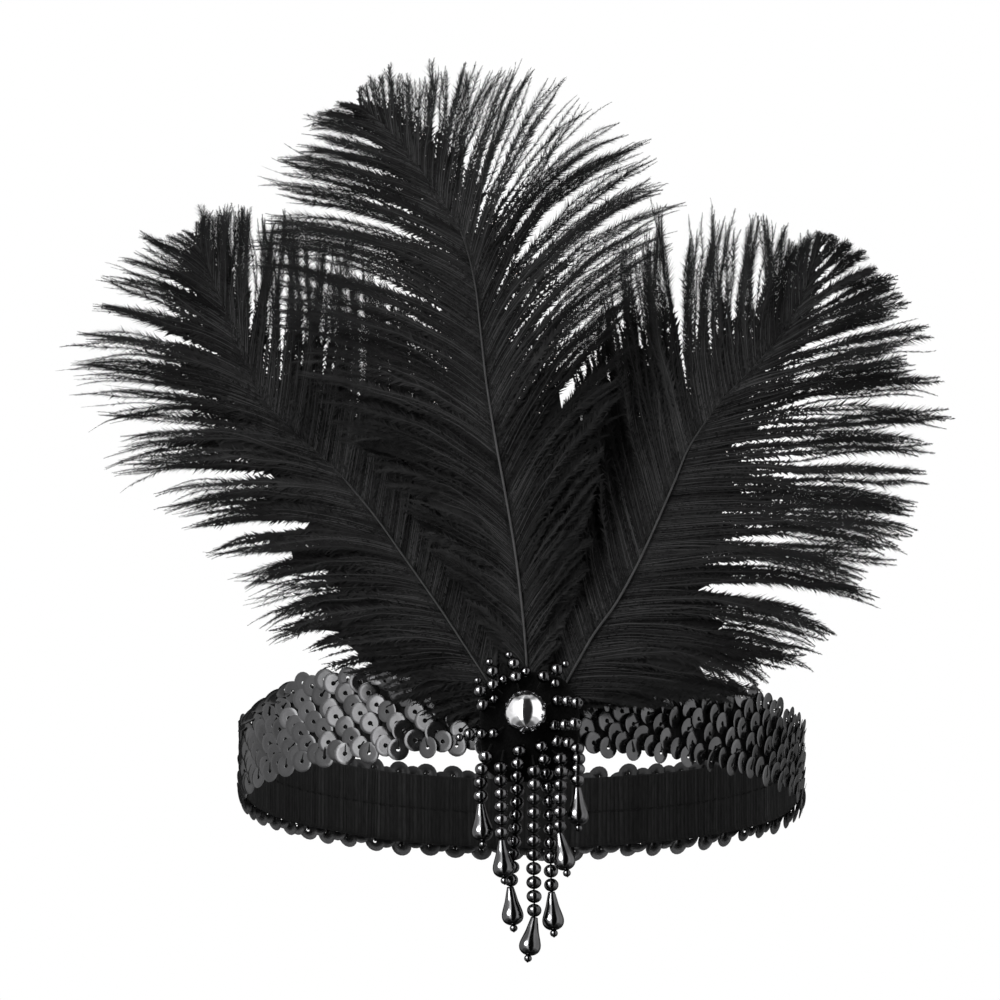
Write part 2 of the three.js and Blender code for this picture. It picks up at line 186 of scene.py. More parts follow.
def tube(build, centre, radius, sides, shade, k=0, count=1, closed=False):
    """A capped round tube along centre (n, 3), or a closed loop of it."""
    n = len(centre)
    if closed:
        t = unit(np.roll(centre, -1, 0) - np.roll(centre, 1, 0))
    else:
        t = unit(np.gradient(centre, axis=0))
    a, b = frames(t)
    w = 2 * np.pi * np.arange(sides) / sides
    r = np.broadcast_to(np.asarray(radius, float), (n,))[:, None, None]
    rings = centre[:, None] + r * (np.cos(w)[None, :, None] * a[:, None] + np.sin(w)[None, :, None] * b[:, None])
    quads, uv = grid(n, sides, closed, True)
    faces, uvs = [quads], [cell(uv * [1, 0.9], k, count)]
    if not closed:
        flat = np.stack([0.5 + 0.5 * np.cos(w), 0.95 + 0.05 * np.sin(w)], -1)
        first, last = np.arange(sides)[::-1], np.arange(sides) + (n - 1) * sides
        faces += [first[None], last[None]]
        uvs += [cell(flat[::-1][None] * [0.5, 1], k, count), cell(flat[None] * [0.5, 1] + [0.5, 0], k, count)]
    build.add(rings.reshape(-1, 3), faces, uvs, np.repeat(np.broadcast_to(shade, (n,)), sides))


def turned(build, at, axis, profile, sides, shade, k, count):
    """A drilled bead: a closed profile of (distance along axis, radius) turned about axis."""
    profile = np.asarray(profile, float)
    axis = unit(np.asarray(axis, float))
    a, b = frames(axis[None])
    w = 2 * np.pi * np.arange(sides) / sides
    rim = np.cos(w)[:, None] * a + np.sin(w)[:, None] * b
    rings = np.asarray(at, float) + profile[:, 0, None, None] * axis + profile[:, 1, None, None] * rim[None]
    quads, uv = grid(len(profile), sides, True, True)
    build.add(rings.reshape(-1, 3), [quads], [cell(uv, k, count)], shade)


def round_bead(radius, half, hole=0.42, steps=15):
    """Profile of a drilled round bead, flattened to its half length."""
    lip = math.asin(min(0.95, (hole + 0.1) / radius))
    a = np.linspace(lip, math.pi - lip, steps)
    outer = np.stack([-half * np.cos(a), radius * np.sin(a)], -1)
    end = half * math.cos(lip)
    wall = np.array([[end * 0.93, hole], [0.0, hole], [-end * 0.93, hole]])
    return np.vstack([outer, wall])


# ---------------------------------------------------------------- materials

def shader(name, **sockets):
    mat = bpy.data.materials.new(name)
    mat.use_nodes = True
    nodes, links = mat.node_tree.nodes, mat.node_tree.links
    bsdf = nodes["Principled BSDF"]
    for key, value in sockets.items():
        bsdf.inputs[key.replace("_", " ")].default_value = value
    return mat, nodes, links, bsdf


def node(nodes, kind, **values):
    made = nodes.new(kind)
    for key, value in values.items():
        if key in made.bl_rna.properties:
            setattr(made, key, value)
        else:
            made.inputs[key.replace("_", " ")].default_value = value
    return made


def ramp(nodes, links, source, stops):
    r = nodes.new("ShaderNodeValToRGB")
    el = r.color_ramp.elements
    while len(el) < len(stops):
        el.new(0.5)
    for e, (p, c) in zip(el, stops):
        e.position = p
        e.color = (c, c, c, 1) if np.isscalar(c) else (*c, 1)
    links.new(source, r.inputs[0])
    return r.outputs["Color"]


def span(nodes, links, source, low, high, to_low, to_high):
    m = nodes.new("ShaderNodeMapRange")
    for key, value in (("From Min", low), ("From Max", high), ("To Min", to_low), ("To Max", to_high)):
        m.inputs[key].default_value = value
    links.new(source, m.inputs["Value"])
    return m.outputs["Result"]


def place(nodes, links, scale=(1, 1, 1)):
    tc = nodes.new("ShaderNodeTexCoord")
    mp = nodes.new("ShaderNodeMapping")
    mp.inputs["Scale"].default_value = scale
    links.new(tc.outputs["Object"], mp.inputs["Vector"])
    return mp.outputs["Vector"]


def noise(nodes, links, vector, scale, detail=3.0, rough=0.55):
    n = nodes.new("ShaderNodeTexNoise")
    n.inputs["Scale"].default_value = scale
    n.inputs["Detail"].default_value = detail
    n.inputs["Roughness"].default_value = rough
    links.new(vector, n.inputs["Vector"])
    return n.outputs["Fac"]


def attribute(nodes, name="shade"):
    a = nodes.new("ShaderNodeAttribute")
    a.attribute_name = name
    return a.outputs["Fac"]


def times(nodes, links, a, b, mode="MULTIPLY", fac=1.0):
    m = nodes.new("ShaderNodeMix")
    m.data_type, m.blend_type = "RGBA", mode
    m.inputs[0].default_value = fac
    links.new(a, m.inputs[6])
    links.new(b, m.inputs[7])
    return m.outputs[2]


def bump(nodes, links, bsdf, height, strength, distance):
    b = nodes.new("ShaderNodeBump")
    b.inputs["Strength"].default_value = strength
    b.inputs["Distance"].default_value = distance
    links.new(height, b.inputs["Height"])
    links.new(b.outputs["Normal"], bsdf.inputs["Normal"])


def make_materials():
    made = {}

    mat, n, l, b = shader("feather_black", Sheen_Weight=0.03, Sheen_Roughness=0.45, Specular_IOR_Level=0.1)
    v = place(n, l)
    base = ramp(n, l, attribute(n), [(0.0, (0.003, 0.003, 0.0031)), (0.6, (0.0216, 0.0216, 0.0219)), (1.0, (0.052, 0.052, 0.0526))])
    cloud = ramp(n, l, noise(n, l, v, 90.0), [(0.3, 0.62), (0.75, 1.0)])
    l.new(times(n, l, base, cloud), b.inputs["Base Color"])
    l.new(span(n, l, noise(n, l, v, 420.0, 2.0), 0.3, 0.7, 0.5, 0.75), b.inputs["Roughness"])
    made["feather"] = mat

    mat, n, l, b = shader("quill_horn", Specular_IOR_Level=0.3)
    v = place(n, l, (1, 1, 0.12))
    base = ramp(n, l, attribute(n), [(0.0, (0.004, 0.004, 0.004)), (1.0, (0.06, 0.06, 0.061))])
    grain = ramp(n, l, noise(n, l, v, 900.0), [(0.3, 0.7), (0.7, 1.0)])
    l.new(times(n, l, base, grain), b.inputs["Base Color"])
    l.new(span(n, l, noise(n, l, v, 600.0), 0.3, 0.7, 0.32, 0.5), b.inputs["Roughness"])
    bump(n, l, b, noise(n, l, v, 1500.0), 0.25, 0.0001)
    made["quill"] = mat

    mat, n, l, b = shader("sequin_film", Metallic=0.85, Specular_IOR_Level=0.6)
    v = place(n, l)
    # shade 0.09 is the lighter base of the lower rows' backs, painted light; shade 0.2 is the darker base of the curled
    # discs, painted shade
    base = ramp(n, l, attribute(n), [(0.0, (0.036, 0.036, 0.037)), (0.09, (0.09, 0.09, 0.092)), (0.2, (0.042, 0.042, 0.043)), (0.5, (0.058, 0.058, 0.0595)),
                                   (1.0, (0.115, 0.115, 0.118))])
    cloud = ramp(n, l, noise(n, l, v, 260.0), [(0.3, 0.82), (0.7, 1.0)])
    l.new(times(n, l, base, cloud), b.inputs["Base Color"])
    rough = n.new("ShaderNodeMath")     # the backs, of shade below 0.1, are dull
    rough.operation = "ADD"
    l.new(span(n, l, noise(n, l, v, 700.0, 4.0), 0.3, 0.7, 0.15, 0.23), rough.inputs[0])
    l.new(span(n, l, attribute(n), 0.1, 0.2, 0.34, 0.0), rough.inputs[1])
    l.new(rough.outputs[0], b.inputs["Roughness"])
    bump(n, l, b, noise(n, l, v, 500.0), 0.12, 0.0001)
    made["sequin"] = mat

    mat, n, l, b = shader("elastic_weave", Sheen_Weight=0.02, Specular_IOR_Level=0.06)
    v = place(n, l)
    base = ramp(n, l, attribute(n), [(0.0, (0.008, 0.008, 0.008)), (1.0, (0.037, 0.037, 0.0375))])
    yarn = ramp(n, l, noise(n, l, place(n, l, (1, 1, 0.18)), 1600.0), [(0.3, 0.55), (0.72, 1.0)])
    l.new(times(n, l, base, yarn), b.inputs["Base Color"])
    l.new(span(n, l, noise(n, l, v, 1200.0), 0.3, 0.7, 0.8, 0.97), b.inputs["Roughness"])
    bump(n, l, b, noise(n, l, v, 2400.0), 0.5, 0.00012)
    made["elastic"] = mat

    mat, n, l, b = shader("sewing_thread", Specular_IOR_Level=0.12, Sheen_Weight=0.02)
    v = place(n, l)
    base = ramp(n, l, noise(n, l, v, 1800.0), [(0.3, (0.0015, 0.0015, 0.0015)), (0.75, (0.006, 0.006, 0.006))])
    l.new(base, b.inputs["Base Color"])
    l.new(span(n, l, noise(n, l, v, 900.0), 0.3, 0.7, 0.6, 0.85), b.inputs["Roughness"])
    bump(n, l, b, noise(n, l, v, 3000.0), 0.5, 0.00006)
    made["thread"] = mat

    mat, n, l, b = shader("felt_black", Sheen_Weight=0.02, Specular_IOR_Level=0.05)
    v = place(n, l)
    base = ramp(n, l, noise(n, l, v, 1400.0, 5.0), [(0.3, (0.001, 0.001, 0.001)), (0.75, (0.0042, 0.0042, 0.0042))])
    l.new(base, b.inputs["Base Color"])
    l.new(span(n, l, noise(n, l, v, 800.0), 0.3, 0.7, 0.85, 0.98), b.inputs["Roughness"])
    bump(n, l, b, noise(n, l, v, 2600.0, 5.0), 0.7, 0.0002)
    made["felt"] = mat

    mat, n, l, b = shader("gunmetal_bead", Metallic=1.0)
    v = place(n, l)
    base = ramp(n, l, attribute(n), [(0.0, (0.032, 0.032, 0.0328)), (0.6, (0.1, 0.1, 0.102)), (1.0, (0.74, 0.74, 0.75))])
    cloud = ramp(n, l, noise(n, l, v, 320.0, 4.0), [(0.3, 0.72), (0.65, 1.0)])
    l.new(times(n, l, base, cloud), b.inputs["Base Color"])
    l.new(span(n, l, noise(n, l, v, 900.0, 4.0), 0.3, 0.7, 0.08, 0.17), b.inputs["Roughness"])
    bump(n, l, b, noise(n, l, v, 1100.0), 0.06, 0.0001)
    made["bead"] = mat

    mat, n, l, b = shader("pale_floor", Roughness=0.8)
    base = ramp(n, l, noise(n, l, place(n, l), 6.0), [(0.3, (0.8, 0.8, 0.8)), (0.7, (0.84, 0.84, 0.84))])
    l.new(base, b.inputs["Base Color"])
    made["floor"] = mat
    return made


MATERIAL = make_materials()


# ---------------------------------------------------------------- elastic strip

ELASTIC_INNER_R, ELASTIC_OUTER_R, ELASTIC_HALF = 76.5, 78.0, 10.0
RIBS, COLUMNS_PER_RIB = 400, 3
COVER_HALF = 13.8


def hump(a, at, wide):
    """A smooth rise round an angle in degrees."""
    off = (np.degrees(a) - at + 180.0) % 360.0 - 180.0
    return np.exp(-(off / wide) ** 2)


def sag(a, z):
    """How far the soft band hangs from a level ring at angle a (0 in front, to the right) and height z."""
    top = np.clip((z + COVER_HALF) / (2 * COVER_HALF), 0, 1)
    edge = -2.4 * hump(a, 76, 17) - 4.0 * hump(a, -83, 13) + 1.2 * hump(a, -48, 13)
    return -0.9 - 0.8 * np.sin(a) + top * edge


def make_elastic():
    rng = np.random.default_rng(11)
    widths = rng.uniform(0.55, 1.45, RIBS)
    widths = 0.6 * widths + 0.4 * np.roll(widths, 1)
    edges = 2 * np.pi * np.concatenate([[0], np.cumsum(widths)]) / widths.sum()
    a = (edges[:-1, None] + (edges[1:] - edges[:-1])[:, None] * np.array([0.0, 0.3, 0.7])).ravel()
    depth = np.repeat(rng.uniform(0.1, 0.34, RIBS), COLUMNS_PER_RIB)
    ridge = depth * np.tile([0.0, 1.0, 0.95], RIBS)
    cols = len(a)
    slow = 0.5 + 0.3 * np.sin(7 * a + 0.4) + 0.2 * np.sin(19 * a + 1.7)
    # each rib keeps its own random tone, varied slowly round the ring; the ridge factor makes rib tops lighter and
    # valleys darker, which is painted shade
    tone = np.repeat(rng.uniform(0.3, 1.0, RIBS), COLUMNS_PER_RIB) * (0.2 + 0.8 * ridge / 0.34) * (0.5 + 0.5 * slow)
    wave = 0.25 * np.sin(5 * a + 0.7) + 0.18 * np.sin(11 * a + 2.1)
    # (height, which wall, share of rib) round the section: up the inside, over, down the outside
    inside = [-9.3, -8.4, -6.0, -3.2, -0.5, 0.0, 0.5, 3.2, 6.0, 8.4, 9.3]
    groove = {0.0: 0.1, -9.3: 0.5, 9.3: 0.5}
    rows = []
    for z in inside:
        rows.append((z, 0.0, groove.get(z, 1.0)))
    rows += [(9.9, 0.25, 0.35), (10.0, 0.6, 0.2), (9.6, 1.0, 0.3), (0.0, 1.0, 0.3), (-9.6, 1.0, 0.3), (-10.0, 0.6, 0.2), (-9.9, 0.25, 0.35)]
    drift = 0.35 * np.sin(23 * a + 0.6) + 0.3 * np.sin(41 * a + 2.2)
    verts, shade = [], []
    for z, wall, share in rows:
        r = ELASTIC_INNER_R + wall * (ELASTIC_OUTER_R - ELASTIC_INNER_R - 0.1)
        bulge = ridge * share * (-1 if wall < 0.5 else 0.5)
        r = r + 0.3 * (1 - wall) + bulge
        edge = wave * 0.5 * (abs(z) > 9)
        lean = a + (z / 10.0) * drift * 0.35 / ELASTIC_INNER_R
        verts.append(np.stack([r * np.sin(lean), -r * np.cos(lean), z + edge + sag(a, z)], -1))
        # rows with a small share of rib, the grooves and the rows round the edges, come out darker: painted shade
        shade.append(tone * (0.4 + 0.6 * share))
    b = Build()
    quads, uv = grid(len(rows), cols, True, True)
    b.add(np.concatenate(verts), [quads], [uv], np.concatenate(shade))
    strip = b.piece("elastic_strip", MATERIAL["elastic"], "elastic", ["elastic_band"])

    # stitches along the middle, seen on the inside of the strip
    t = Build()
    count = 150
    for k in range(count):
        a0 = 2 * np.pi * (k + rng.uniform(-0.2, 0.2)) / count
        reach = rng.uniform(0.7, 1.25) / ELASTIC_INNER_R
        q = np.linspace(-1, 1, 6)
        r = ELASTIC_INNER_R - 0.02 + 0.45 * np.abs(q) ** 4
        ang = a0 + reach * q
        z = 0.22 * q * rng.choice([-1, 1]) + rng.uniform(-0.15, 0.15)
        tube(t, np.stack([r * np.sin(ang), -r * np.cos(ang), z + sag(ang, z)], -1), 0.11, 5, 0.5, k, count)
    t.piece("elastic_stitches", MATERIAL["thread"], "elastic")


# ---------------------------------------------------------------- sequins

SEQUIN_R, SEQUIN_HOLE_R, SEQUIN_THICKNESS = 3.1, 0.5, 0.06
SEQUIN_RING_R = 79.3
SEQUINS_PER_ROW = 59
# height of a row, and how far along the ring one of its sequins is from the front
SEQUIN_ROWS = [(-10.5, 48.8), (-9.0, 45.1), (-6.2, 42.4), (-2.7, 40.2), (0.3, 36.4), (2.8, 33.7), (6.1, 30.8),
               (9.4, 27.5), (10.75, 23.8)]
# how far a sequin turns out of the ring at an angle round it, in degrees
SHINGLE_TURN = ([-180, -140, -100, -86, -72, -20, 15, 33, 47, 62, 76, 100, 180],
                [-5, -10, -10, 10, 18, 18, 19, 20, 15, 9, 3, 0, -5])
SHINGLE_LIFT = -10.0
DISC_SIDES = 18


def make_sequins():
    rng = np.random.default_rng(23)
    w = 2 * np.pi * np.arange(DISC_SIDES) / DISC_SIDES
    half = SEQUIN_THICKNESS / 2
    # rings round the disc's section: out across the front, round the rim, back behind, up the hole
    section = [(SEQUIN_HOLE_R, half), (0.75, half), (2.0, half), (3.06, half), (SEQUIN_R, 0.0),
               (3.06, -half), (SEQUIN_HOLE_R, -half)]
    place_in_map = [0.10, 0.14, 0.32, 0.44, 0.455, 0.44, 0.10]
    quads, _ = grid(len(section), DISC_SIDES, True, True)
    front = quads[:4 * DISC_SIDES]
    back = quads[4 * DISC_SIDES:]

    def round_map(i_of, cx):
        ring, j = i_of // DISC_SIDES, i_of % DISC_SIDES
        r = np.array(place_in_map)[ring]
        return np.stack([cx + 0.5 * r * np.cos(w[j]), 0.5 + r * np.sin(w[j])], -1)

    uv_front, uv_back = round_map(front, 0.25), round_map(back, 0.75)
    hole_wall = len(back) - DISC_SIDES
    ring_last = uv_back[hole_wall:].copy()
    ring_last[:, 2:] = 0.75 * ring_last[:, 2:] + 0.25 * np.array([0.75, 0.5])
    uv_back[hole_wall:] = ring_last

    b, t = Build(), Build()
    total = len(SEQUIN_ROWS) * SEQUINS_PER_ROW
    pitch = 2 * np.pi / SEQUINS_PER_ROW
    k = 0
    for row, (row_z, row_at) in enumerate(SEQUIN_ROWS):
        for i in range(SEQUINS_PER_ROW):
            ang = i * pitch + (row_at + 0.45 * rng.standard_normal()) / SEQUIN_RING_R
            edge_row = row in (0, len(SEQUIN_ROWS) - 1)
            z = row_z + (0.2 if edge_row else 0.35) * rng.standard_normal()
            loose = rng.random() < 0.07
            around = math.degrees((ang + math.pi) % (2 * math.pi) - math.pi)
            in_front = abs(around) < 95
            turn = float(np.interp(around, *SHINGLE_TURN))
            if 40 < around < 92 and z > 8:      # the upper edge lies flatter at the right
                turn = 0.3 * turn
            slack = 9.0 if loose else 6.0 if -44 < around < -12 else 3.0
            lift, curled = SHINGLE_LIFT, False
            if -30 < around < -8 and rng.random() < 0.35:       # some face more to the left
                turn = -8.0
            if -78 < around < -56 and z > 7 and rng.random() < 0.85:   # the edge curls up at the left
                lift, curled = 36.0, True
            turn = math.radians(turn + slack * rng.standard_normal())
            lift = math.radians(lift + (9.0 if loose else 3.0) * rng.standard_normal())
            out = ang + turn
            normal = np.array([math.sin(out) * math.cos(lift), -math.cos(out) * math.cos(lift), math.sin(lift)])
            along = np.array([math.cos(out), math.sin(out), 0.0])
            up = unit(np.cross(along, -normal))
            spin = rng.uniform(0, 2 * np.pi)
            e1 = math.cos(spin) * along + math.sin(spin) * up
            e2 = -math.sin(spin) * along + math.cos(spin) * up
            centre = np.array([SEQUIN_RING_R * math.sin(ang), -SEQUIN_RING_R * math.cos(ang), z + sag(ang, z)])
            cup = rng.uniform(-0.12, 0.06)
            rings = []
            for r, h in section:
                lift_out = h + cup * (r / SEQUIN_R) ** 2
                rings.append(centre + r * (np.cos(w)[:, None] * e1 + np.sin(w)[:, None] * e2) + lift_out * normal)
            shade = np.full(len(section) * DISC_SIDES, float(np.clip(rng.normal(0.5, 0.13), 0.25, 1)))
            # the backs are darker and dull; on the lower rows they are painted lighter, painted light that makes up for
            # the light the plumes keep from them
            shade[5 * DISC_SIDES:] = 0.09 if row_z < 0 else 0.0
            # the curled discs are glossy and reflect the dark above them; their darker base adds painted shade
            if curled:
                shade[:] = 0.2
            b.add(np.concatenate(rings), [front, back], [cell(uv_front, k, total), cell(uv_back, k, total)], shade)
            # the thread comes up through the hole and runs under the next disc; an edge sequin is sewn inwards
            if edge_row:
                to = unit((1 if row == 0 else -1) * up + 0.25 * rng.standard_normal() * along)
                plugged = rng.random() < (0.15 if in_front else 0.92)
                q = np.array([-0.2 if plugged else 0.02, 0.1, 0.4, 0.75, 1.0])
                high = np.array([-0.1, -0.12, -0.16, -0.2, -0.3])
                tube(t, centre + q[:, None] * 2.8 * to + high[:, None] * normal, 0.44 if plugged else 0.3, 6, 0.5, k, total)
            else:
                long = rng.random() < 0.3
                rise = math.radians((38 if long else -40) + 14 * rng.standard_normal())
                to = math.cos(rise) * along + math.sin(rise) * up
                reach = rng.uniform(1.6, 2.8) if long else rng.uniform(0.7, 1.1)
                q = np.array([-0.12, 0.0, 0.22, 0.6, 1.0])
                high = np.array([-0.5, 0.02, 0.2, 0.18, 0.1])
                tube(t, centre + q[:, None] * reach * to + high[:, None] * normal, 0.2, 5, 0.5, k, total)
            k += 1
    b.piece("sequin_discs", MATERIAL["sequin"], "sequin", ["sequin_cover"])
    t.piece("sequin_threads", MATERIAL["thread"], "sequin")


# ---------------------------------------------------------------- plumes

QUILL_R = 0.95
PLUME_CUP, CUP_AT = 7.0, 60.0


def side_sheet(z):
    return -82.2 + 10.0 * ease((z - 6.0) / 110.0)


def centre_sheet(z):
    return -84.4 - 12.0 * ease((z - 4.0) / 95.0) + 4.0 * ease((z - 110.0) / 70.0)


# Rachis x and z; then for the outer and the inner barb: length, direction at the
# rachis and direction at its end, in degrees from +X towards +Z.
PLUMES = {
    "left": (side_sheet, [
        (-3.2, -3.8, 13, 186, 208, 0, 75, 95),
        (-9.2, 5.5, 30, 176, 200, 30, 78, 95),
        (-13.9, 12.8, 42, 168, 200, 46, 76, 95),
        (-22.5, 26.2, 52, 165, 205, 58, 75, 95),
        (-32.8, 41.5, 56, 160, 197, 64, 80, 95),
        (-42.2, 55.2, 62, 160, 195, 70, 80, 95),
        (-52.0, 67.1, 65, 160, 195, 71, 80, 92),
        (-64.8, 79.7, 60, 155, 185, 63, 80, 92),
        (-73.7, 89.9, 55, 150, 178, 54, 85, 92),
        (-78.2, 101.2, 46, 145, 172, 43, 88, 92),
        (-83.6, 115.0, 34, 140, 165, 29, 90, 88),
        (-88.4, 127.0, 15, 130, 150, 15, 95, 90),
        (-90.4, 133.3, 4, 125, 140, 4, 98, 95),
    ]),
    "centre": (centre_sheet, [
        (1.8, -4.3, 0, 120, 150, 0, 60, 45),
        (1.4, 4.5, 12, 120, 150, 12, 60, 45),
        (1.0, 12.8, 26, 120, 150, 26, 60, 45),
        (-0.4, 28.0, 36, 130, 165, 36, 62, 45),
        (-2.3, 42.7, 44, 135, 170, 47, 64, 45),
        (-4.8, 57.1, 54, 138, 175, 60, 65, 40),
        (-7.3, 70.5, 63, 140, 172, 72, 65, 38),
        (-10.1, 88.1, 70, 140, 175, 80, 66, 27),
        (-11.9, 104.7, 72, 142, 178, 74, 70, 32),
        (-13.2, 115.5, 67, 145, 178, 68, 75, 44),
        (-16.7, 129.3, 58, 148, 175, 55, 80, 60),
        (-21.7, 138.6, 49, 150, 172, 44, 85, 75),
        (-29.6, 150.0, 34, 152, 170, 30, 95, 85),
        (-38.5, 161.5, 17, 155, 170, 15, 105, 95),
        (-45.6, 167.0, 4, 158, 170, 4, 110, 105),
    ]),
    "right": (side_sheet, [
        (6.5, -3.8, 0, 10, -25, 0, 105, 88),
        (11.5, 4.6, 44, 8, -18, 30, 110, 92),
        (14.8, 10.5, 56, 8, -22, 50, 110, 92),
        (19.8, 19.3, 61, 10, -25, 60, 108, 92),
        (25.6, 27.6, 66, 8, -20, 66, 107, 93),
        (31.2, 38.0, 69, 6, -12, 73, 106, 94),
        (35.6, 47.6, 74, 5, -8, 76, 105, 93),
        (42.1, 63.1, 77, 8, -3, 76, 105, 90),
        (46.5, 73.9, 75, 12, 0, 70, 104, 85),
        (55.5, 87.3, 66, 20, 5, 57, 102, 80),
        (65.0, 97.8, 52, 28, 15, 44, 98, 75),
        (74.5, 109.9, 31, 38, 25, 27, 95, 70),
        (78.7, 119.0, 20, 50, 38, 17, 90, 68),
        (81.6, 128.2, 9, 65, 55, 8, 85, 70),
        (82.7, 132.2, 3, 70, 60, 3, 85, 75),
    ]),
}

BARB_SPACING = 0.59      # along the rachis
SAMPLE_SPACING = 0.3     # along a barb, on average
BARB_STEPS = 48
SHAFT_STEPS = 15          # of two barb steps each


def tufts(rng, count, sizes, weights):
    """Numbers that put neighbouring barbs in tufts of random sizes."""
    ids, k = [], 0
    while len(ids) < count:
        ids += [k] * int(rng.choice(sizes, p=weights))
        k += 1
    return np.array(ids[:count])


def mean_of(ids, values):
    sums = np.zeros((ids.max() + 1,) + values.shape[1:])
    np.add.at(sums, ids, values)
    return (sums / np.bincount(ids).reshape((-1,) + (1,) * (values.ndim - 1)))[ids]


def make_vane(name, node_name, sheet, table, first, seed, shut_below, parted=0.0, reach=1.0):
    """One side of a plume: barbs from the rachis, each a midline with a barbule on
    either side of every step. first is the column of the side's barb length;
    barbs that start well below shut_below stay closed. A parted vane opens nearer the
    rachis into broader tufts, which spread again at their ends; reach scales the barbs."""
    rng = np.random.default_rng(seed)
    table = np.array(table, float)
    rows = len(table)
    u = np.linspace(0, 1, 4000)
    spine = catmull(table[:, :2], u)
    s = np.concatenate([[0], np.cumsum(np.linalg.norm(np.diff(spine, axis=0), axis=1))])
    length_at = np.interp(u * (rows - 1), np.arange(rows), table[:, first])
    start = s[np.argmax(length_at > 3.0)]
    count = int((s[-1] - start) / BARB_SPACING)
    root_s = start + (np.arange(count) + rng.uniform(-0.35, 0.35, count)) * BARB_SPACING
    root_u = np.interp(root_s, s, u)
    root = np.stack([np.interp(root_s, s, spine[:, 0]), np.interp(root_s, s, spine[:, 1])], -1)
    col = lambda c: np.interp(root_u * (rows - 1), np.arange(rows), table[:, c])

    if parted > 0.3:
        small = tufts(rng, count, [2, 4, 6, 8, 10, 12], [0.14, 0.22, 0.24, 0.2, 0.12, 0.08])
    else:
        small = tufts(rng, count, [1, 2, 3, 4, 5, 6, 8], [0.08, 0.14, 0.18, 0.2, 0.18, 0.14, 0.08])
    big = tufts(rng, count, [10, 14, 18, 24], [0.25, 0.3, 0.25, 0.2])
    tuft = lambda values: values[small]
    many = small.max() + 1
    stray = rng.random(count) < 0.1
    tuft_long = tuft(np.clip(0.055 * rng.standard_normal(many), -0.13, 0.08))
    length = reach * col(first) * (1.02 + tuft_long - np.clip(0.1 * np.abs(rng.standard_normal(count)), 0, 0.28))
    length = np.where(stray, length * rng.uniform(0.9, 1.09, count), length)
    shut = 1 - ease((root[:, 1] - shut_below + 40.0) / 40.0)
    low = 1 - ease((root[:, 1] - 40.0) / 70.0)
    calm = 1 - 0.75 * np.maximum(0.6 * low, shut)
    a0 = np.radians(col(first + 1) + 1.2 * calm * rng.standard_normal(count))
    a1 = np.radians(col(first + 2) + 3.0 * calm * rng.standard_normal(count))
    a1 = a1 + np.where(stray, np.radians(rng.uniform(4, 20, count)) * rng.choice([-1, 1], count) * calm, 0)

    t = np.linspace(0, 1, BARB_STEPS + 1)
    mid = (t[1:] + t[:-1]) / 2
    ang = a0[:, None] + (a1 - a0)[:, None] * mid
    curl = np.radians(11.0) * rng.standard_normal((count, 1)) * np.clip((mid - 0.72) / 0.28, 0, 1) ** 1.5
    step = (length / BARB_STEPS)[:, None]
    walk = np.stack([step * np.cos(ang + curl), step * np.sin(ang + curl)], -1)
    flat = np.concatenate([np.zeros((count, 1, 2)), np.cumsum(walk, axis=1)], axis=1) + root[:, None]

    # tufts: neighbouring barbs draw together, and each tuft takes its own way
    loose = (np.where(stray, 0.1, 1) * (1 - 0.8 * shut))[:, None]
    begins = (tuft(rng.uniform(0.1, 0.36, many)) * (1 - 0.5 * parted) + (0.3 - 0.05 * parted) * low + 0.5 * shut)[:, None]
    pull = tuft(rng.uniform(0.2, 0.5, many) + 0.22 * parted)[:, None] * ease((t - begins) / (0.4 - 0.14 * parted)) * loose
    pull = pull * (1 - 0.95 * parted * ease((t - 0.45) / 0.35))
    flat = flat + pull[..., None] * (mean_of(small, flat) - flat)
    pull = tuft(rng.uniform(0.3, 0.8, many))[:, None] * ease((t - 0.62) / 0.38) * loose * (1 - 0.75 * parted)
    flat = flat + pull[..., None] * (mean_of(small, flat) - flat)
    pull = (rng.uniform(0.0, 0.22, big.max() + 1)[big] * (1 - 0.9 * shut) * (1 - 0.5 * parted))[:, None] * ease((t - 0.3) / 0.7)
    flat = flat + pull[..., None] * (mean_of(big, flat) - flat)
    heading = unit(np.gradient(flat, axis=1))
    across = np.stack([-heading[..., 1], heading[..., 0]], -1)
    sway = np.clip(tuft(np.tan(np.radians(2.4) * rng.standard_normal(many))) * length * (1 - 0.8 * shut), -5.0, 5.0)
    bow = tuft(1.1 * rng.standard_normal(many)) * np.minimum(1, length / 50)
    split = 0.55 * rng.standard_normal(count)
    wave_phase, wave_long = rng.uniform(0, 2 * np.pi, count), rng.uniform(13, 34, count)
    wiggle = 0.3 * np.sin(2 * np.pi * t * (length / wave_long)[:, None] + wave_phase[:, None])
    offset = sway[:, None] * t ** 2.2 + bow[:, None] * np.sin(np.pi * t) * ease(t / 0.6) + wiggle * ease(t / 0.5)
    offset = offset + split[:, None] * np.clip((t - 0.7) / 0.3, 0, 1) ** 2
    flat = flat + across * offset[..., None]

    far = length[:, None] * t
    depth_tuft = tuft(rng.uniform(-1, 1, many))
    depth = PLUME_CUP * (far / CUP_AT) ** 2 + 0.35
    depth = depth + depth_tuft[:, None] * 2.4 * ease(t / 0.7) * np.minimum(1, length / 40)[:, None]
    depth = depth + (0.7 * rng.standard_normal(count))[:, None] * ease(t / 0.6)
    path = np.stack([flat[..., 0], sheet(flat[..., 1]) + depth, flat[..., 1]], -1)
    way = unit(np.gradient(path, axis=1))

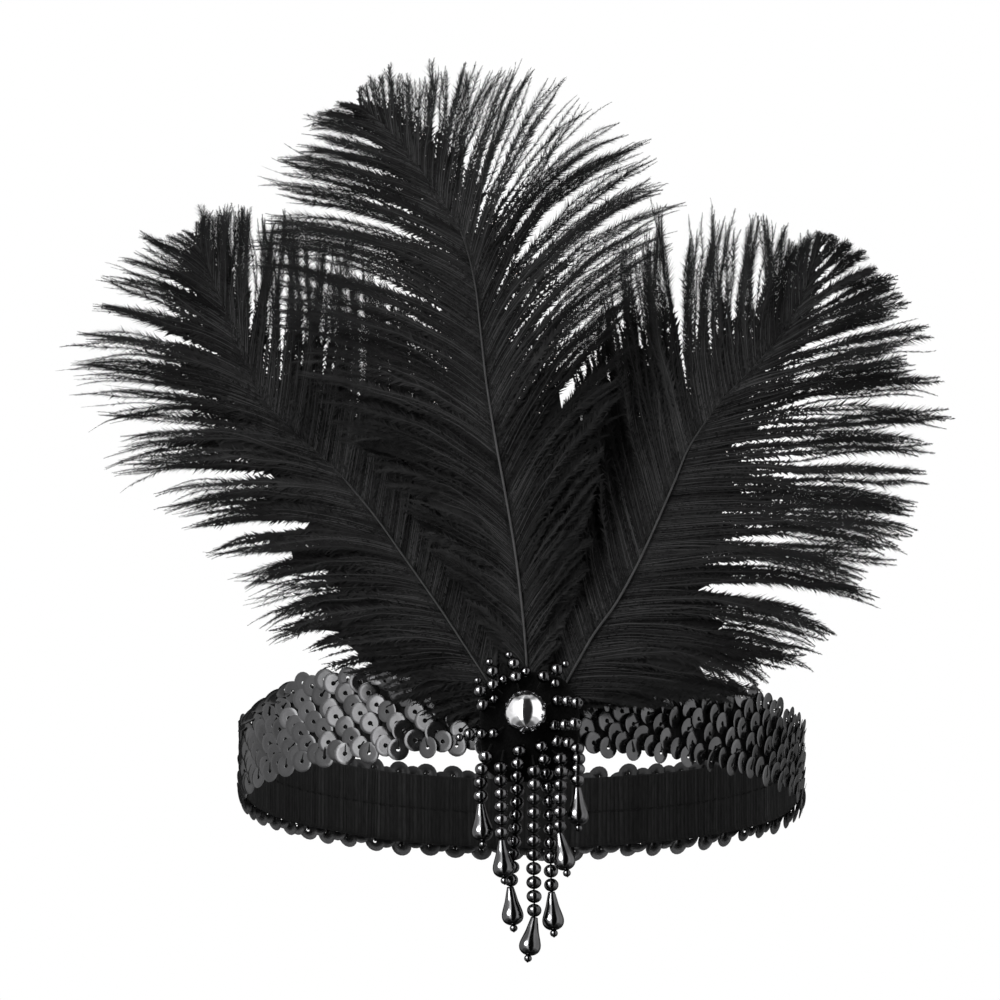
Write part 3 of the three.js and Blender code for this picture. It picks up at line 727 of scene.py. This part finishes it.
    # sample every barb at its own steps, finer in its outer half
    parts = np.maximum(8, np.round(length / SAMPLE_SPACING).astype(int))
    barb = np.repeat(np.arange(count), parts + 1)
    begin = np.concatenate([[0], np.cumsum(parts + 1)[:-1]])
    j = np.arange(len(barb)) - begin[barb]
    tt = np.interp(j / parts[barb], [0.0, 0.37, 1.0], [0.0, 0.5, 1.0])
    k0 = np.minimum((tt * BARB_STEPS).astype(int), BARB_STEPS - 1)
    f = (tt * BARB_STEPS - k0)[:, None]
    centre = path[barb, k0] * (1 - f) + path[barb, k0 + 1] * f
    along = unit(way[barb, k0] * (1 - f) + way[barb, k0 + 1] * f)
    face = np.array([0.0, -1.0, 0.0])
    front = unit(face - along * (along @ face)[:, None])
    side = np.cross(along, front)
    twist = (np.radians(16) * rng.standard_normal(count))[barb] + 0.35 * tt * (rng.standard_normal(count))[barb]
    wide = np.cos(twist)[:, None] * side + np.sin(twist)[:, None] * front
    tall = -np.sin(twist)[:, None] * side + np.cos(twist)[:, None] * front

    seg = np.flatnonzero(j < parts[barb])
    m = len(seg)
    st = (tt[seg] + tt[seg + 1]) / 2
    longest = np.interp(st, [0.0, 0.08, 0.35, 0.6, 0.8, 0.9, 0.96, 1.0], [1.4, 2.4, 3.2, 3.4, 3.0, 2.0, 0.8, 0.3])
    longest = longest * (1 - 0.3 * parted * (1 - ease((st - 0.5) / 0.3)))
    longest = longest + parted * np.interp(st, [0.4, 0.6, 0.8, 0.9, 0.96, 1.0], [0.0, 0.9, 1.3, 1.2, 0.8, 0.2])
    fluff = np.where(stray, 0.55, rng.uniform(0.7, 1.25, count))[barb[seg]]
    small_vane = np.minimum(1, 0.35 + length / 30)[barb[seg]]
    middle = (centre[seg] + centre[seg + 1]) / 2

    def tips(sign):
        reach = longest * fluff * small_vane * (0.22 + 0.78 * rng.random(m) ** 0.9) + 0.1
        lean = np.radians(28 + 9 * rng.standard_normal(m))
        out = np.radians(20) * rng.standard_normal(m)
        sideways = sign * np.cos(out)[:, None] * wide[seg] + np.sin(out)[:, None] * tall[seg]
        return middle + reach[:, None] * (np.cos(lean)[:, None] * along[seg] + np.sin(lean)[:, None] * sideways)

    # more of the inner barbules are broad at their foot, so that the vane is closer there
    n = len(centre)
    verts = np.concatenate([centre, tips(1), tips(-1)])
    tip_l, tip_r = n + np.arange(m), n + m + np.arange(m)
    closed = np.clip(1 - (st - begins[barb[seg], 0]) / 0.22, 0, 1)
    draw = rng.random(m)
    spans = np.where(draw < closed, 3, np.where(draw < closed + 0.55 * (1 - st) + 1.2 * max(0.0, parted - 0.3) * ease((st - 0.4) / 0.2), 2, 1))
    foot = seg + np.minimum(spans, parts[barb[seg]] - j[seg])
    tri_l, tri_r = np.stack([foot, seg, tip_l], -1), np.stack([seg, foot, tip_r], -1)
    row, tall_row = (barb / count), 0.9 / count
    uu = 0.01 + 0.97 * tt
    at = lambda idx, share, extra=0.0: np.stack([uu[idx] + extra, row[idx] + (0.05 / count) + tall_row * share], -1)
    fwd = 0.4 * (uu[seg + 1] - uu[seg]) + 0.002
    uv_l = np.stack([at(foot, 0.5), at(seg, 0.5), at(seg, 1.0, fwd)], 1)
    uv_r = np.stack([at(seg, 0.5), at(foot, 0.5), at(seg, 0.0, fwd)], 1)
    barb_shade = np.clip(tuft(rng.normal(0.27, 0.12, many)) + 0.12 * rng.standard_normal(count), 0, 0.6)
    tone = barb_shade[barb]
    seg_tone = np.clip(tone[seg] + 0.07 * rng.standard_normal(m), 0, 0.7)
    b = Build()
    b.add(verts, [tri_l, tri_r], [uv_l, uv_r], np.concatenate([tone, seg_tone, seg_tone]))

    # the shafts of the barbs, thin ribbons along the face of the vane
    k0 = np.arange(0, SHAFT_STEPS + 1) * 2
    line, head = path[:, k0], way[:, k0]
    near = unit(face - head * (head @ face)[..., None])
    half = (0.085 * (1 - k0 / BARB_STEPS))[None, :, None] * np.cross(head, near)
    mid_line = line + 0.55 * ease((k0 / BARB_STEPS - 0.02) / 0.16)[None, :, None] * near
    both = np.stack([mid_line - half, mid_line + half], 2).reshape(-1, 3)
    width = SHAFT_STEPS + 1
    i0 = (np.arange(count)[:, None] * width + np.arange(SHAFT_STEPS)).ravel() * 2
    quads = np.stack([i0, i0 + 1, i0 + 3, i0 + 2], -1)
    c = np.stack([np.tile(np.arange(SHAFT_STEPS), count) / SHAFT_STEPS, np.repeat(np.arange(count), SHAFT_STEPS) / count], -1)
    d = np.array([[0, 0], [0, 0.8 / count], [0.9 / SHAFT_STEPS, 0.8 / count], [0.9 / SHAFT_STEPS, 0]])
    shaft_tone = np.clip(barb_shade[:, None] + rng.uniform(0.1, 0.75, (count, 1)) + np.zeros(width), 0, 1)
    b.add(both, [quads], [c[:, None] + d], np.repeat(shaft_tone.ravel(), 2))

    # the barbs are webbed where they leave the rachis, farther out low on the vane
    reach_t = np.clip(begins[:, 0] - 0.04, 0.05, 0.75)
    web_steps = np.maximum(1, np.round(reach_t * BARB_STEPS / 3).astype(int))
    web_steps = np.minimum(web_steps[:-1], web_steps[1:])
    most = int(web_steps.max())
    k0 = np.arange(0, most + 1) * 3
    web = path[:, k0] + np.array([0.0, 0.5, 0.0])
    width = most + 1
    i, k = (g.ravel() for g in np.meshgrid(np.arange(count - 1), np.arange(most), indexing="ij"))
    keep = k < web_steps[i]
    i, k = i[keep], k[keep]
    i0 = i * width + k
    quads = np.stack([i0, i0 + 1, i0 + width + 1, i0 + width], -1)
    used, quads = np.unique(quads, return_inverse=True)
    c = np.stack([k / most, i / count], -1)
    d = np.array([[0, 0], [0.9 / most, 0], [0.9 / most, 0.8 / count], [0, 0.8 / count]])
    b.add(web.reshape(-1, 3)[used], [quads.reshape(-1, 4)], [c[:, None] + d], np.repeat(0.6 * barb_shade, width)[used])
    return b.piece(name, MATERIAL["feather"], "feather", [node_name])


# share of the rachis, radius (mm)
RACHIS_RADIUS = ([0, 0.1, 0.3, 0.5, 0.75, 1.0], [0.4, 0.36, 0.32, 0.26, 0.16, 0.06])
RACHIS_TONE = {"left": 0.22, "centre": 0.8, "right": 0.6}
RACHIS_SINKS = {"left": 0.36, "centre": 0.62, "right": 0.46}    # share of the rachis where the barbs begin to hide it
VANE_PARTED = {"left": (-0.35, 0.2), "centre": (0.0, 0.3), "right": (0.8, 0.2)}    # outer and inner vane; below 0 it stays closed farther out
VANE_REACH = {"left": 1.0, "centre": 1.0, "right": 0.955}


def make_rachis(name, node_name, sheet, table, seed, tone, sinks):
    rng = np.random.default_rng(seed)
    table = np.array(table, float)
    u = np.linspace(0, 1, 260)
    spine = catmull(table[:, :2], u)
    s = np.concatenate([[0], np.cumsum(np.linalg.norm(np.diff(spine, axis=0), axis=1))])
    q = s / s[-1]
    y = sheet(spine[:, 1]) - 0.5 * ease(q / 0.2) + 1.3 * ease((q - sinks) / 0.2)
    shade = tone * np.interp(q, [0, 0.08, 0.2, 0.4, 0.58, 0.7, 1.0], [0.1, 0.4, 0.8, 1.0, 0.5, 0.12, 0.04])
    shade = np.clip(shade * (1 + 0.12 * rng.standard_normal(len(u))), 0, 1)
    b = Build()
    tube(b, np.stack([spine[:, 0], y, spine[:, 1]], -1), np.interp(q, *RACHIS_RADIUS), 10, shade)
    return b.piece(name, MATERIAL["quill"], "feather", [node_name])


def make_plumes():
    for k, (which, (sheet, table)) in enumerate(PLUMES.items()):
        node_name = "plume_" + which
        parted, reach = VANE_PARTED[which], VANE_REACH[which]
        make_vane(which + "_vane_outer", node_name, sheet, table, 2, 100 + 10 * k, 70.0 if which == "centre" else 38.0, parted[0], reach)
        make_vane(which + "_vane_inner", node_name, sheet, table, 5, 105 + 10 * k, 70.0, parted[1])
        make_rachis(which + "_rachis", node_name, sheet, table, 108 + 10 * k, RACHIS_TONE[which], RACHIS_SINKS[which])


# ---------------------------------------------------------------- brooch

PAD_HALF_WIDTH, PAD_HALF_HEIGHT, PAD_POWER, PAD_X = 13.7, 15.5, 3.0, 2.0
PAD_Z, PAD_BACK_Y, PAD_FRONT_Y = -8.0, -85.7, -87.1
BROOCH_X, BROOCH_Z = 0.8, -3.7
CENTRE_BEAD_R, CENTRE_BEAD = 6.0, (0.8, -93.5, -4.9)
BEAD_R, BEAD_HALF = 2.05, 1.85
RAY_BEAD_R, END_BEAD_R = 1.9, 1.15
DROP_LENGTH, DROP_R, DROP_TOP_R, STOP_BEAD_R, BEAD_GAP = 10.7, 3.0, 0.95, 1.1, 0.3

# first bead, last bead, how many, small end bead, size of the round beads
RAYS = [
    ((-8.2, -90.4, 3.3), (-8.3, -90.2, 7.05), 2, (-9.1, -90.2, 9.7), 1.0),
    ((-2.0, -90.4, 5.5), (-2.4, -90.2, 9.25), 2, (-3.6, -90.2, 11.5), 1.0),
    ((5.8, -90.4, 5.7), (9.45, -90.2, 7.7), 2, (11.8, -90.2, 9.2), 1.0),
    ((-11.0, -90.4, -2.4), (-11.7, -90.4, 1.6), 2, (-12.3, -90.4, 4.5), 1.0),
    ((9.6, -89.6, -1.0), (14.9, -94.6, -2.5), 3, None, 1.0),
    ((8.9, -89.6, -8.0), (14.4, -94.6, -8.4), 3, None, 1.0),
    ((-8.0, -89.6, -10.2), (-14.7, -90.0, -10.5), 3, (-17.2, -90.2, -11.4), 0.9),
]
# a smaller bead sewn to the pad beside the foot of a ray
FOOT_BEADS = [(-5.3, -88.9, 5.1), (0.9, -88.9, 7.3), (8.9, -88.9, 4.1), (-7.9, -88.9, -0.4)]
FOOT_BEAD_R = 1.5
# where the thread is sewn, first bead, a bead part way, last bead, how many, bottom of the drop
STRANDS = [
    ((-8.6, -87.75, -12.9), (-10.1, -90.4, -16.9), (-11.4, -90.7, -22.4), (-11.5, -90.8, -28.0), 4, (-10.8, -90.8, -40.4)),
    ((-5.2, -87.75, -14.6), (-6.1, -91.8, -20.3), (-5.9, -93.2, -29.7), (-5.8, -94.4, -38.9), 6, (-4.9, -94.6, -51.6)),
    ((0.4, -87.75, -13.0), (-0.9, -89.6, -15.2), (-1.7, -89.6, -32.0), (-3.2, -89.6, -51.2), 11, (-2.2, -89.6, -63.8)),
    ((2.7, -87.75, -16.0), (3.2, -92.4, -21.4), (3.0, -92.4, -40.6), (3.2, -92.4, -60.2), 11, (1.3, -92.4, -72.6)),
    ((4.5, -87.75, -11.8), (5.2, -89.6, -13.9), (7.1, -89.5, -26.0), (7.9, -89.6, -52.6), 11, (8.6, -89.6, -65.2)),
    ((8.2, -87.75, -14.6), (10.4, -91.7, -17.8), (10.2, -92.9, -27.2), (10.1, -93.4, -36.7), 6, (12.4, -93.4, -49.2)),
    ((8.4, -87.75, -11.6), (9.7, -90.6, -12.7), (14.6, -90.8, -14.1), (15.0, -90.8, -23.4), 6, (15.3, -90.8, -36.0)),
]


def pad_edge(w):
    """The rounded outline of the pad at angle w, from the top to the right."""
    size = (np.abs(np.sin(w)) ** PAD_POWER + np.abs(np.cos(w)) ** PAD_POWER) ** (-1 / PAD_POWER)
    return PAD_HALF_WIDTH * size * np.sin(w), PAD_HALF_HEIGHT * size * np.cos(w)


def make_pad():
    rng = np.random.default_rng(41)
    sides = 72
    w = 2 * np.pi * np.arange(sides) / sides
    wavy = 1 + 0.012 * np.sin(5 * w + 1) + 0.008 * np.sin(13 * w)
    section = [(0.6, PAD_FRONT_Y - 0.12), (4.0, PAD_FRONT_Y - 0.1), (9.0, PAD_FRONT_Y - 0.05), (13.6, PAD_FRONT_Y),
               (14.7, PAD_FRONT_Y + 0.25), (15.0, PAD_FRONT_Y + 0.7), (14.8, PAD_BACK_Y - 0.2), (13.5, PAD_BACK_Y),
               (7.0, PAD_BACK_Y), (0.6, PAD_BACK_Y)]
    across, up = pad_edge(w)
    rings = [np.stack([PAD_X + r / 15 * wavy * across, np.full(sides, y), PAD_Z + r / 15 * wavy * up], -1)
             for r, y in section]
    b = Build()
    quads, uv = grid(len(section), sides, True, True)
    b.add(np.concatenate(rings), [quads[:, ::-1]], [uv[:, ::-1] * [1, 0.5]], 0.5)
    pad = b.piece("felt_pad", MATERIAL["felt"], "felt", ["brooch_pad"])

    # loose felt fibres on the face and round the rim
    fibres = Build()
    count = 1500
    for k in range(count):
        a, r = rng.uniform(0, 2 * np.pi), math.sqrt(rng.uniform(0.1, 1.0))
        across, up = pad_edge(a)
        base = np.array([PAD_X + r * across, PAD_FRONT_Y + 0.3 * (r > 0.93), PAD_Z + r * up])
        d = unit(np.array([math.sin(a) * r ** 4, -0.55, math.cos(a) * r ** 4]) + 0.7 * rng.standard_normal(3))
        d[1] = -abs(d[1])
        bend = unit(rng.standard_normal(3))
        q = np.array([0.0, 0.5, 1.0])[:, None]
        long = rng.uniform(0.5, 1.3)
        line = base + d * q * long + bend * q ** 2 * 0.35
        wide = unit(np.cross(d, rng.standard_normal(3))) * 0.035
        verts = np.concatenate([[line[0] - wide, line[0] + wide], [line[1] - wide, line[1] + wide], [line[2]]])
        c = np.array([[0, 0], [1, 0], [0, 0.5], [1, 0.5], [0.5, 1]])
        f4, f3 = np.array([[0, 1, 3, 2]]), np.array([[2, 3, 4]])
        fibres.add(verts, [f4, f3], [cell(c[f4], k, count), cell(c[f3], k, count)], 0.5)
    fibres.piece("felt_fibres", MATERIAL["felt"], "felt")


def make_centre_bead():
    b = Build()
    a = np.linspace(0.09, math.pi - 0.09, 46)
    outer = np.stack([-CENTRE_BEAD_R * np.cos(a), CENTRE_BEAD_R * np.sin(a)], -1)
    wall = np.array([[5.6, 0.5], [0.0, 0.5], [-5.6, 0.5]])
    turned(b, CENTRE_BEAD, (0.12, -0.05, 1.0), np.vstack([outer, wall]), 72, 1.0, 0, 1)
    b.piece("large_bead", MATERIAL["bead"], "bead", ["centre_bead"])


def make_rays():
    rng = np.random.default_rng(51)
    t = Build()
    for k, (first, last, beads, end, size) in enumerate(RAYS):
        first, last = np.array(first), np.array(last)
        inward = np.array([BROOCH_X, first[1], BROOCH_Z]) - first
        root = first + 2.4 * unit(inward)
        root[1] = first[1] + 1.2
        points = [root, first, last] + ([np.array(end)] if end else [])
        path = Path(points)
        s0, s1 = path.distance(first), path.distance(last)
        where = list(np.linspace(s0, s1, beads))
        b = Build()
        count = beads + (1 if end else 0)
        for i, s in enumerate(where):
            axis = path.tangent(s) + 0.07 * rng.standard_normal(3)
            turned(b, path.at(s), axis, round_bead(RAY_BEAD_R * size * rng.uniform(0.97, 1.03), BEAD_HALF * 0.98 * size), 28,
                   rng.uniform(0.15, 0.55), i, count)
        stop = s1 + BEAD_HALF
        if end:
            s2 = max(path.distance(end), s1 + 2.85)
            turned(b, path.at(s2), path.tangent(min(s2, path.length)), round_bead(END_BEAD_R, END_BEAD_R * 0.95, 0.3, 11), 20,
                   rng.uniform(0.1, 0.5), beads, count)
            stop = s2 + END_BEAD_R
        b.piece("ray_beads_%d" % (k + 1), MATERIAL["bead"], "bead", ["ray_%d" % (k + 1)])
        line = np.linspace(-1.2, stop, 14)
        on = path.at(np.maximum(line, 0)) + np.minimum(line, 0)[:, None] * path.tangent(0.0)
        tube(t, on, 0.24, 6, 0.5, k, len(RAYS))
    t.piece("ray_threads", MATERIAL["thread"], "bead")
    for k, at in enumerate(FOOT_BEADS):
        b = Build()
        axis = np.array([BROOCH_X, at[1], BROOCH_Z]) - np.array(at) + 0.3 * rng.standard_normal(3)
        turned(b, np.array(at), axis, round_bead(FOOT_BEAD_R, FOOT_BEAD_R * 0.96), 28, rng.uniform(0.2, 0.5), 0, 1)
        b.piece("foot_beads_%d" % (k + 1), MATERIAL["bead"], "bead", ["foot_bead_%d" % (k + 1)])


def drop_profile():
    down = np.array([0.0, 0.12, 0.24, 0.36, 0.48, 0.6, 0.68, 0.74, 0.8, 0.86, 0.91, 0.95, 0.98, 0.992])
    share = np.array([DROP_TOP_R / DROP_R, 0.42, 0.52, 0.62, 0.76, 0.9, 0.975, 1.0, 0.985, 0.92, 0.79, 0.62, 0.4, 0.2])
    fine = np.linspace(0, 1, 34)
    p = catmull(np.stack([down * DROP_LENGTH, share * DROP_R], -1), fine)
    wall = np.array([[DROP_LENGTH * 0.97, 0.4], [DROP_LENGTH * 0.5, 0.4], [0.25, 0.4]])
    return np.vstack([[[0.02, 0.62]], p, wall])


def make_strands():
    rng = np.random.default_rng(61)
    t = Build()
    for k, (sewn, top, mid, last, beads, tip) in enumerate(STRANDS):
        path = Path([sewn, top, mid, last])
        s0, s1 = path.distance(top), path.length
        b = Build()
        for i, s in enumerate(np.linspace(s0, s1, beads)):
            axis = path.tangent(s) + 0.05 * rng.standard_normal(3)
            turned(b, path.at(s), axis, round_bead(BEAD_R * rng.uniform(0.97, 1.03), BEAD_HALF * 0.985), 28,
                   rng.uniform(0.15, 0.55), i, beads)
        b.piece("strand_beads_%d" % (k + 1), MATERIAL["bead"], "bead", ["strand_%d" % (k + 1)])
        end = path.at(s1)
        hang = unit(np.array(tip) - end)
        drop_top = end + path.tangent(s1) * (BEAD_HALF * 0.92 + BEAD_GAP)
        d = Build()
        turned(d, drop_top, hang, drop_profile(), 40, rng.uniform(0.3, 0.55), 0, 1)
        d.piece("drop_bead_%d" % (k + 1), MATERIAL["bead"], "bead", ["drop_%d" % (k + 1)])
        stop_at = drop_top + hang * (DROP_LENGTH + 0.8)
        e = Build()
        turned(e, stop_at, hang, round_bead(STOP_BEAD_R, STOP_BEAD_R * 0.92, 0.3, 11), 22, rng.uniform(0.1, 0.4), 0, 1)
        e.piece("end_bead_%d" % (k + 1), MATERIAL["bead"], "bead", ["stop_bead_%d" % (k + 1)])
        on = np.vstack([path.at(np.linspace(0, s1, 40)), drop_top, drop_top + hang * 5, stop_at, stop_at + hang * 1.15])
        tube(t, on, 0.25, 6, 0.5, k, len(STRANDS))
    t.piece("strand_threads", MATERIAL["thread"], "bead")


# ---------------------------------------------------------------- camera, light and floor

VIEW_UP = math.radians(12.0)       # the camera looks up at the band by this much
VIEW_FROM = (-0.0062, -3.9278, -0.7603)
FLOOR_Z = -0.95


def make_camera():
    data = bpy.data.cameras.new("camera")
    data.sensor_width, data.lens = 36.0, 511.2
    data.clip_start, data.clip_end = 0.1, 100.0
    cam = bpy.data.objects.new("camera", data)
    cam.location = VIEW_FROM
    cam.rotation_euler = (math.pi / 2 + VIEW_UP, 0, 0)
    SCENE.collection.objects.link(cam)
    SCENE.camera = cam


def make_floor():
    me = bpy.data.meshes.new("floor")
    a = 2 * np.pi * np.arange(96) / 96
    me.from_pydata([(40 * math.cos(w), 40 * math.sin(w), FLOOR_Z) for w in a], [], [tuple(range(96))])
    me.materials.append(MATERIAL["floor"])
    floor = bpy.data.objects.new("floor", me)
    SCENE.collection.objects.link(floor)
    floor.visible_glossy = False     # the studio around it is dark below


def make_light():
    """A studio of two tall soft boxes, left and right of the camera, with a dark gap between."""
    world = bpy.data.worlds.new("studio")
    SCENE.world = world
    world.use_nodes = True
    n, l = world.node_tree.nodes, world.node_tree.links
    n.clear()

    def math_node(kind, *inputs):
        m = n.new("ShaderNodeMath")
        m.operation = kind
        for k, x in enumerate(inputs):
            if isinstance(x, (int, float)):
                m.inputs[k].default_value = x
            else:
                l.new(x, m.inputs[k])
        return m.outputs[0]

    def soft(value, low, high):
        m = n.new("ShaderNodeMapRange")
        m.interpolation_type = "SMOOTHSTEP"
        m.inputs["From Min"].default_value = low
        m.inputs["From Max"].default_value = high
        l.new(value, m.inputs["Value"])
        return m.outputs["Result"]

    tc = n.new("ShaderNodeTexCoord")
    xyz = n.new("ShaderNodeSeparateXYZ")
    l.new(tc.outputs["Generated"], xyz.inputs[0])
    x, y, z = xyz.outputs
    azimuth = math_node("ARCTAN2", x, math_node("MULTIPLY", y, -1.0))
    rad = math.radians
    to_left = math_node("MULTIPLY", azimuth, -1.0)
    left = math_node("MULTIPLY", soft(to_left, rad(14), rad(22)), math_node("SUBTRACT", 1.0, soft(to_left, rad(116), rad(142))))
    falling = math_node("ADD", math_node("MULTIPLY", soft(to_left, rad(30), rad(50)), 6.2),
                        math_node("MULTIPLY", soft(to_left, rad(55), rad(88)), 0.6))
    left = math_node("MULTIPLY", left, math_node("SUBTRACT", 7.9, falling))
    right = math_node("MULTIPLY", soft(azimuth, rad(34), rad(48)), math_node("SUBTRACT", 1.0, soft(azimuth, rad(164), rad(178))))
    falling = math_node("ADD", math_node("MULTIPLY", soft(azimuth, rad(50), rad(75)), 0.55),
                        math_node("MULTIPLY", soft(azimuth, rad(106), rad(124)), 1.1))
    falling = math_node("ADD", falling, math_node("MULTIPLY", soft(azimuth, rad(126), rad(142)), 0.42))
    right = math_node("MULTIPLY", right, math_node("SUBTRACT", 2.2, falling))
    height = math_node("ADD", math_node("MULTIPLY", soft(z, -0.85, -0.7), 0.34), math_node("MULTIPLY", soft(z, -0.55, -0.38), 0.6))
    height = math_node("ADD", height, 0.06)
    height = math_node("MULTIPLY", height, math_node("SUBTRACT", 1.0, math_node("MULTIPLY", soft(z, 0.66, 0.88), 0.88)))
    lamp = math_node("MULTIPLY", math_node("ADD", left, right), height)
    top = math_node("MULTIPLY", soft(z, 0.86, 0.96), 0.4)
    fill = math_node("ADD", top, 0.025)
    total = math_node("ADD", lamp, fill)
    lit = n.new("ShaderNodeBackground")
    lit.inputs["Color"].default_value = (1, 1, 1, 1)
    l.new(total, lit.inputs["Strength"])
    plain = n.new("ShaderNodeBackground")
    plain.inputs["Color"].default_value = (1, 1, 1, 1)
    plain.inputs["Strength"].default_value = 1.0
    lp = n.new("ShaderNodeLightPath")
    mix = n.new("ShaderNodeMixShader")
    l.new(lp.outputs["Is Camera Ray"], mix.inputs[0])
    l.new(lit.outputs[0], mix.inputs[1])
    l.new(plain.outputs[0], mix.inputs[2])
    out = n.new("ShaderNodeOutputWorld")
    l.new(mix.outputs[0], out.inputs["Surface"])
    SCENE.view_settings.view_transform = "Standard"
    SCENE.view_settings.look = "None"


def make_bead_light():
    """A soft box, front left, kept off all but the small beads and the drops."""
    takers = bpy.data.collections.new("bead_takers")
    for obj in SCENE.objects:
        if obj.type == "MESH" and MATERIAL["bead"] in list(obj.data.materials) and obj.name != "large_bead":
            takers.objects.link(obj)
    data = bpy.data.lights.new("bead_box", "AREA")
    data.shape, data.size, data.energy = "DISK", 0.9, 62.0
    box = bpy.data.objects.new("bead_box", data)
    SCENE.collection.objects.link(box)
    az, el = math.radians(-42.0), math.radians(16.0)
    to = Vector((math.sin(az) * math.cos(el), -math.cos(az) * math.cos(el), math.sin(el)))
    box.location = Vector((0.0, -0.09, -0.03)) + 1.2 * to
    box.rotation_euler = to.to_track_quat("Z", "Y").to_euler()
    box.light_linking.receiver_collection = takers


make_camera()
make_floor()
make_light()
make_sequins()
make_elastic()
make_plumes()
make_pad()
make_centre_bead()
make_rays()
make_strands()
make_bead_light()

print("triangles", json.dumps(TALLY), "sum", sum(TALLY.values()))
bpy.context.view_layer.update()
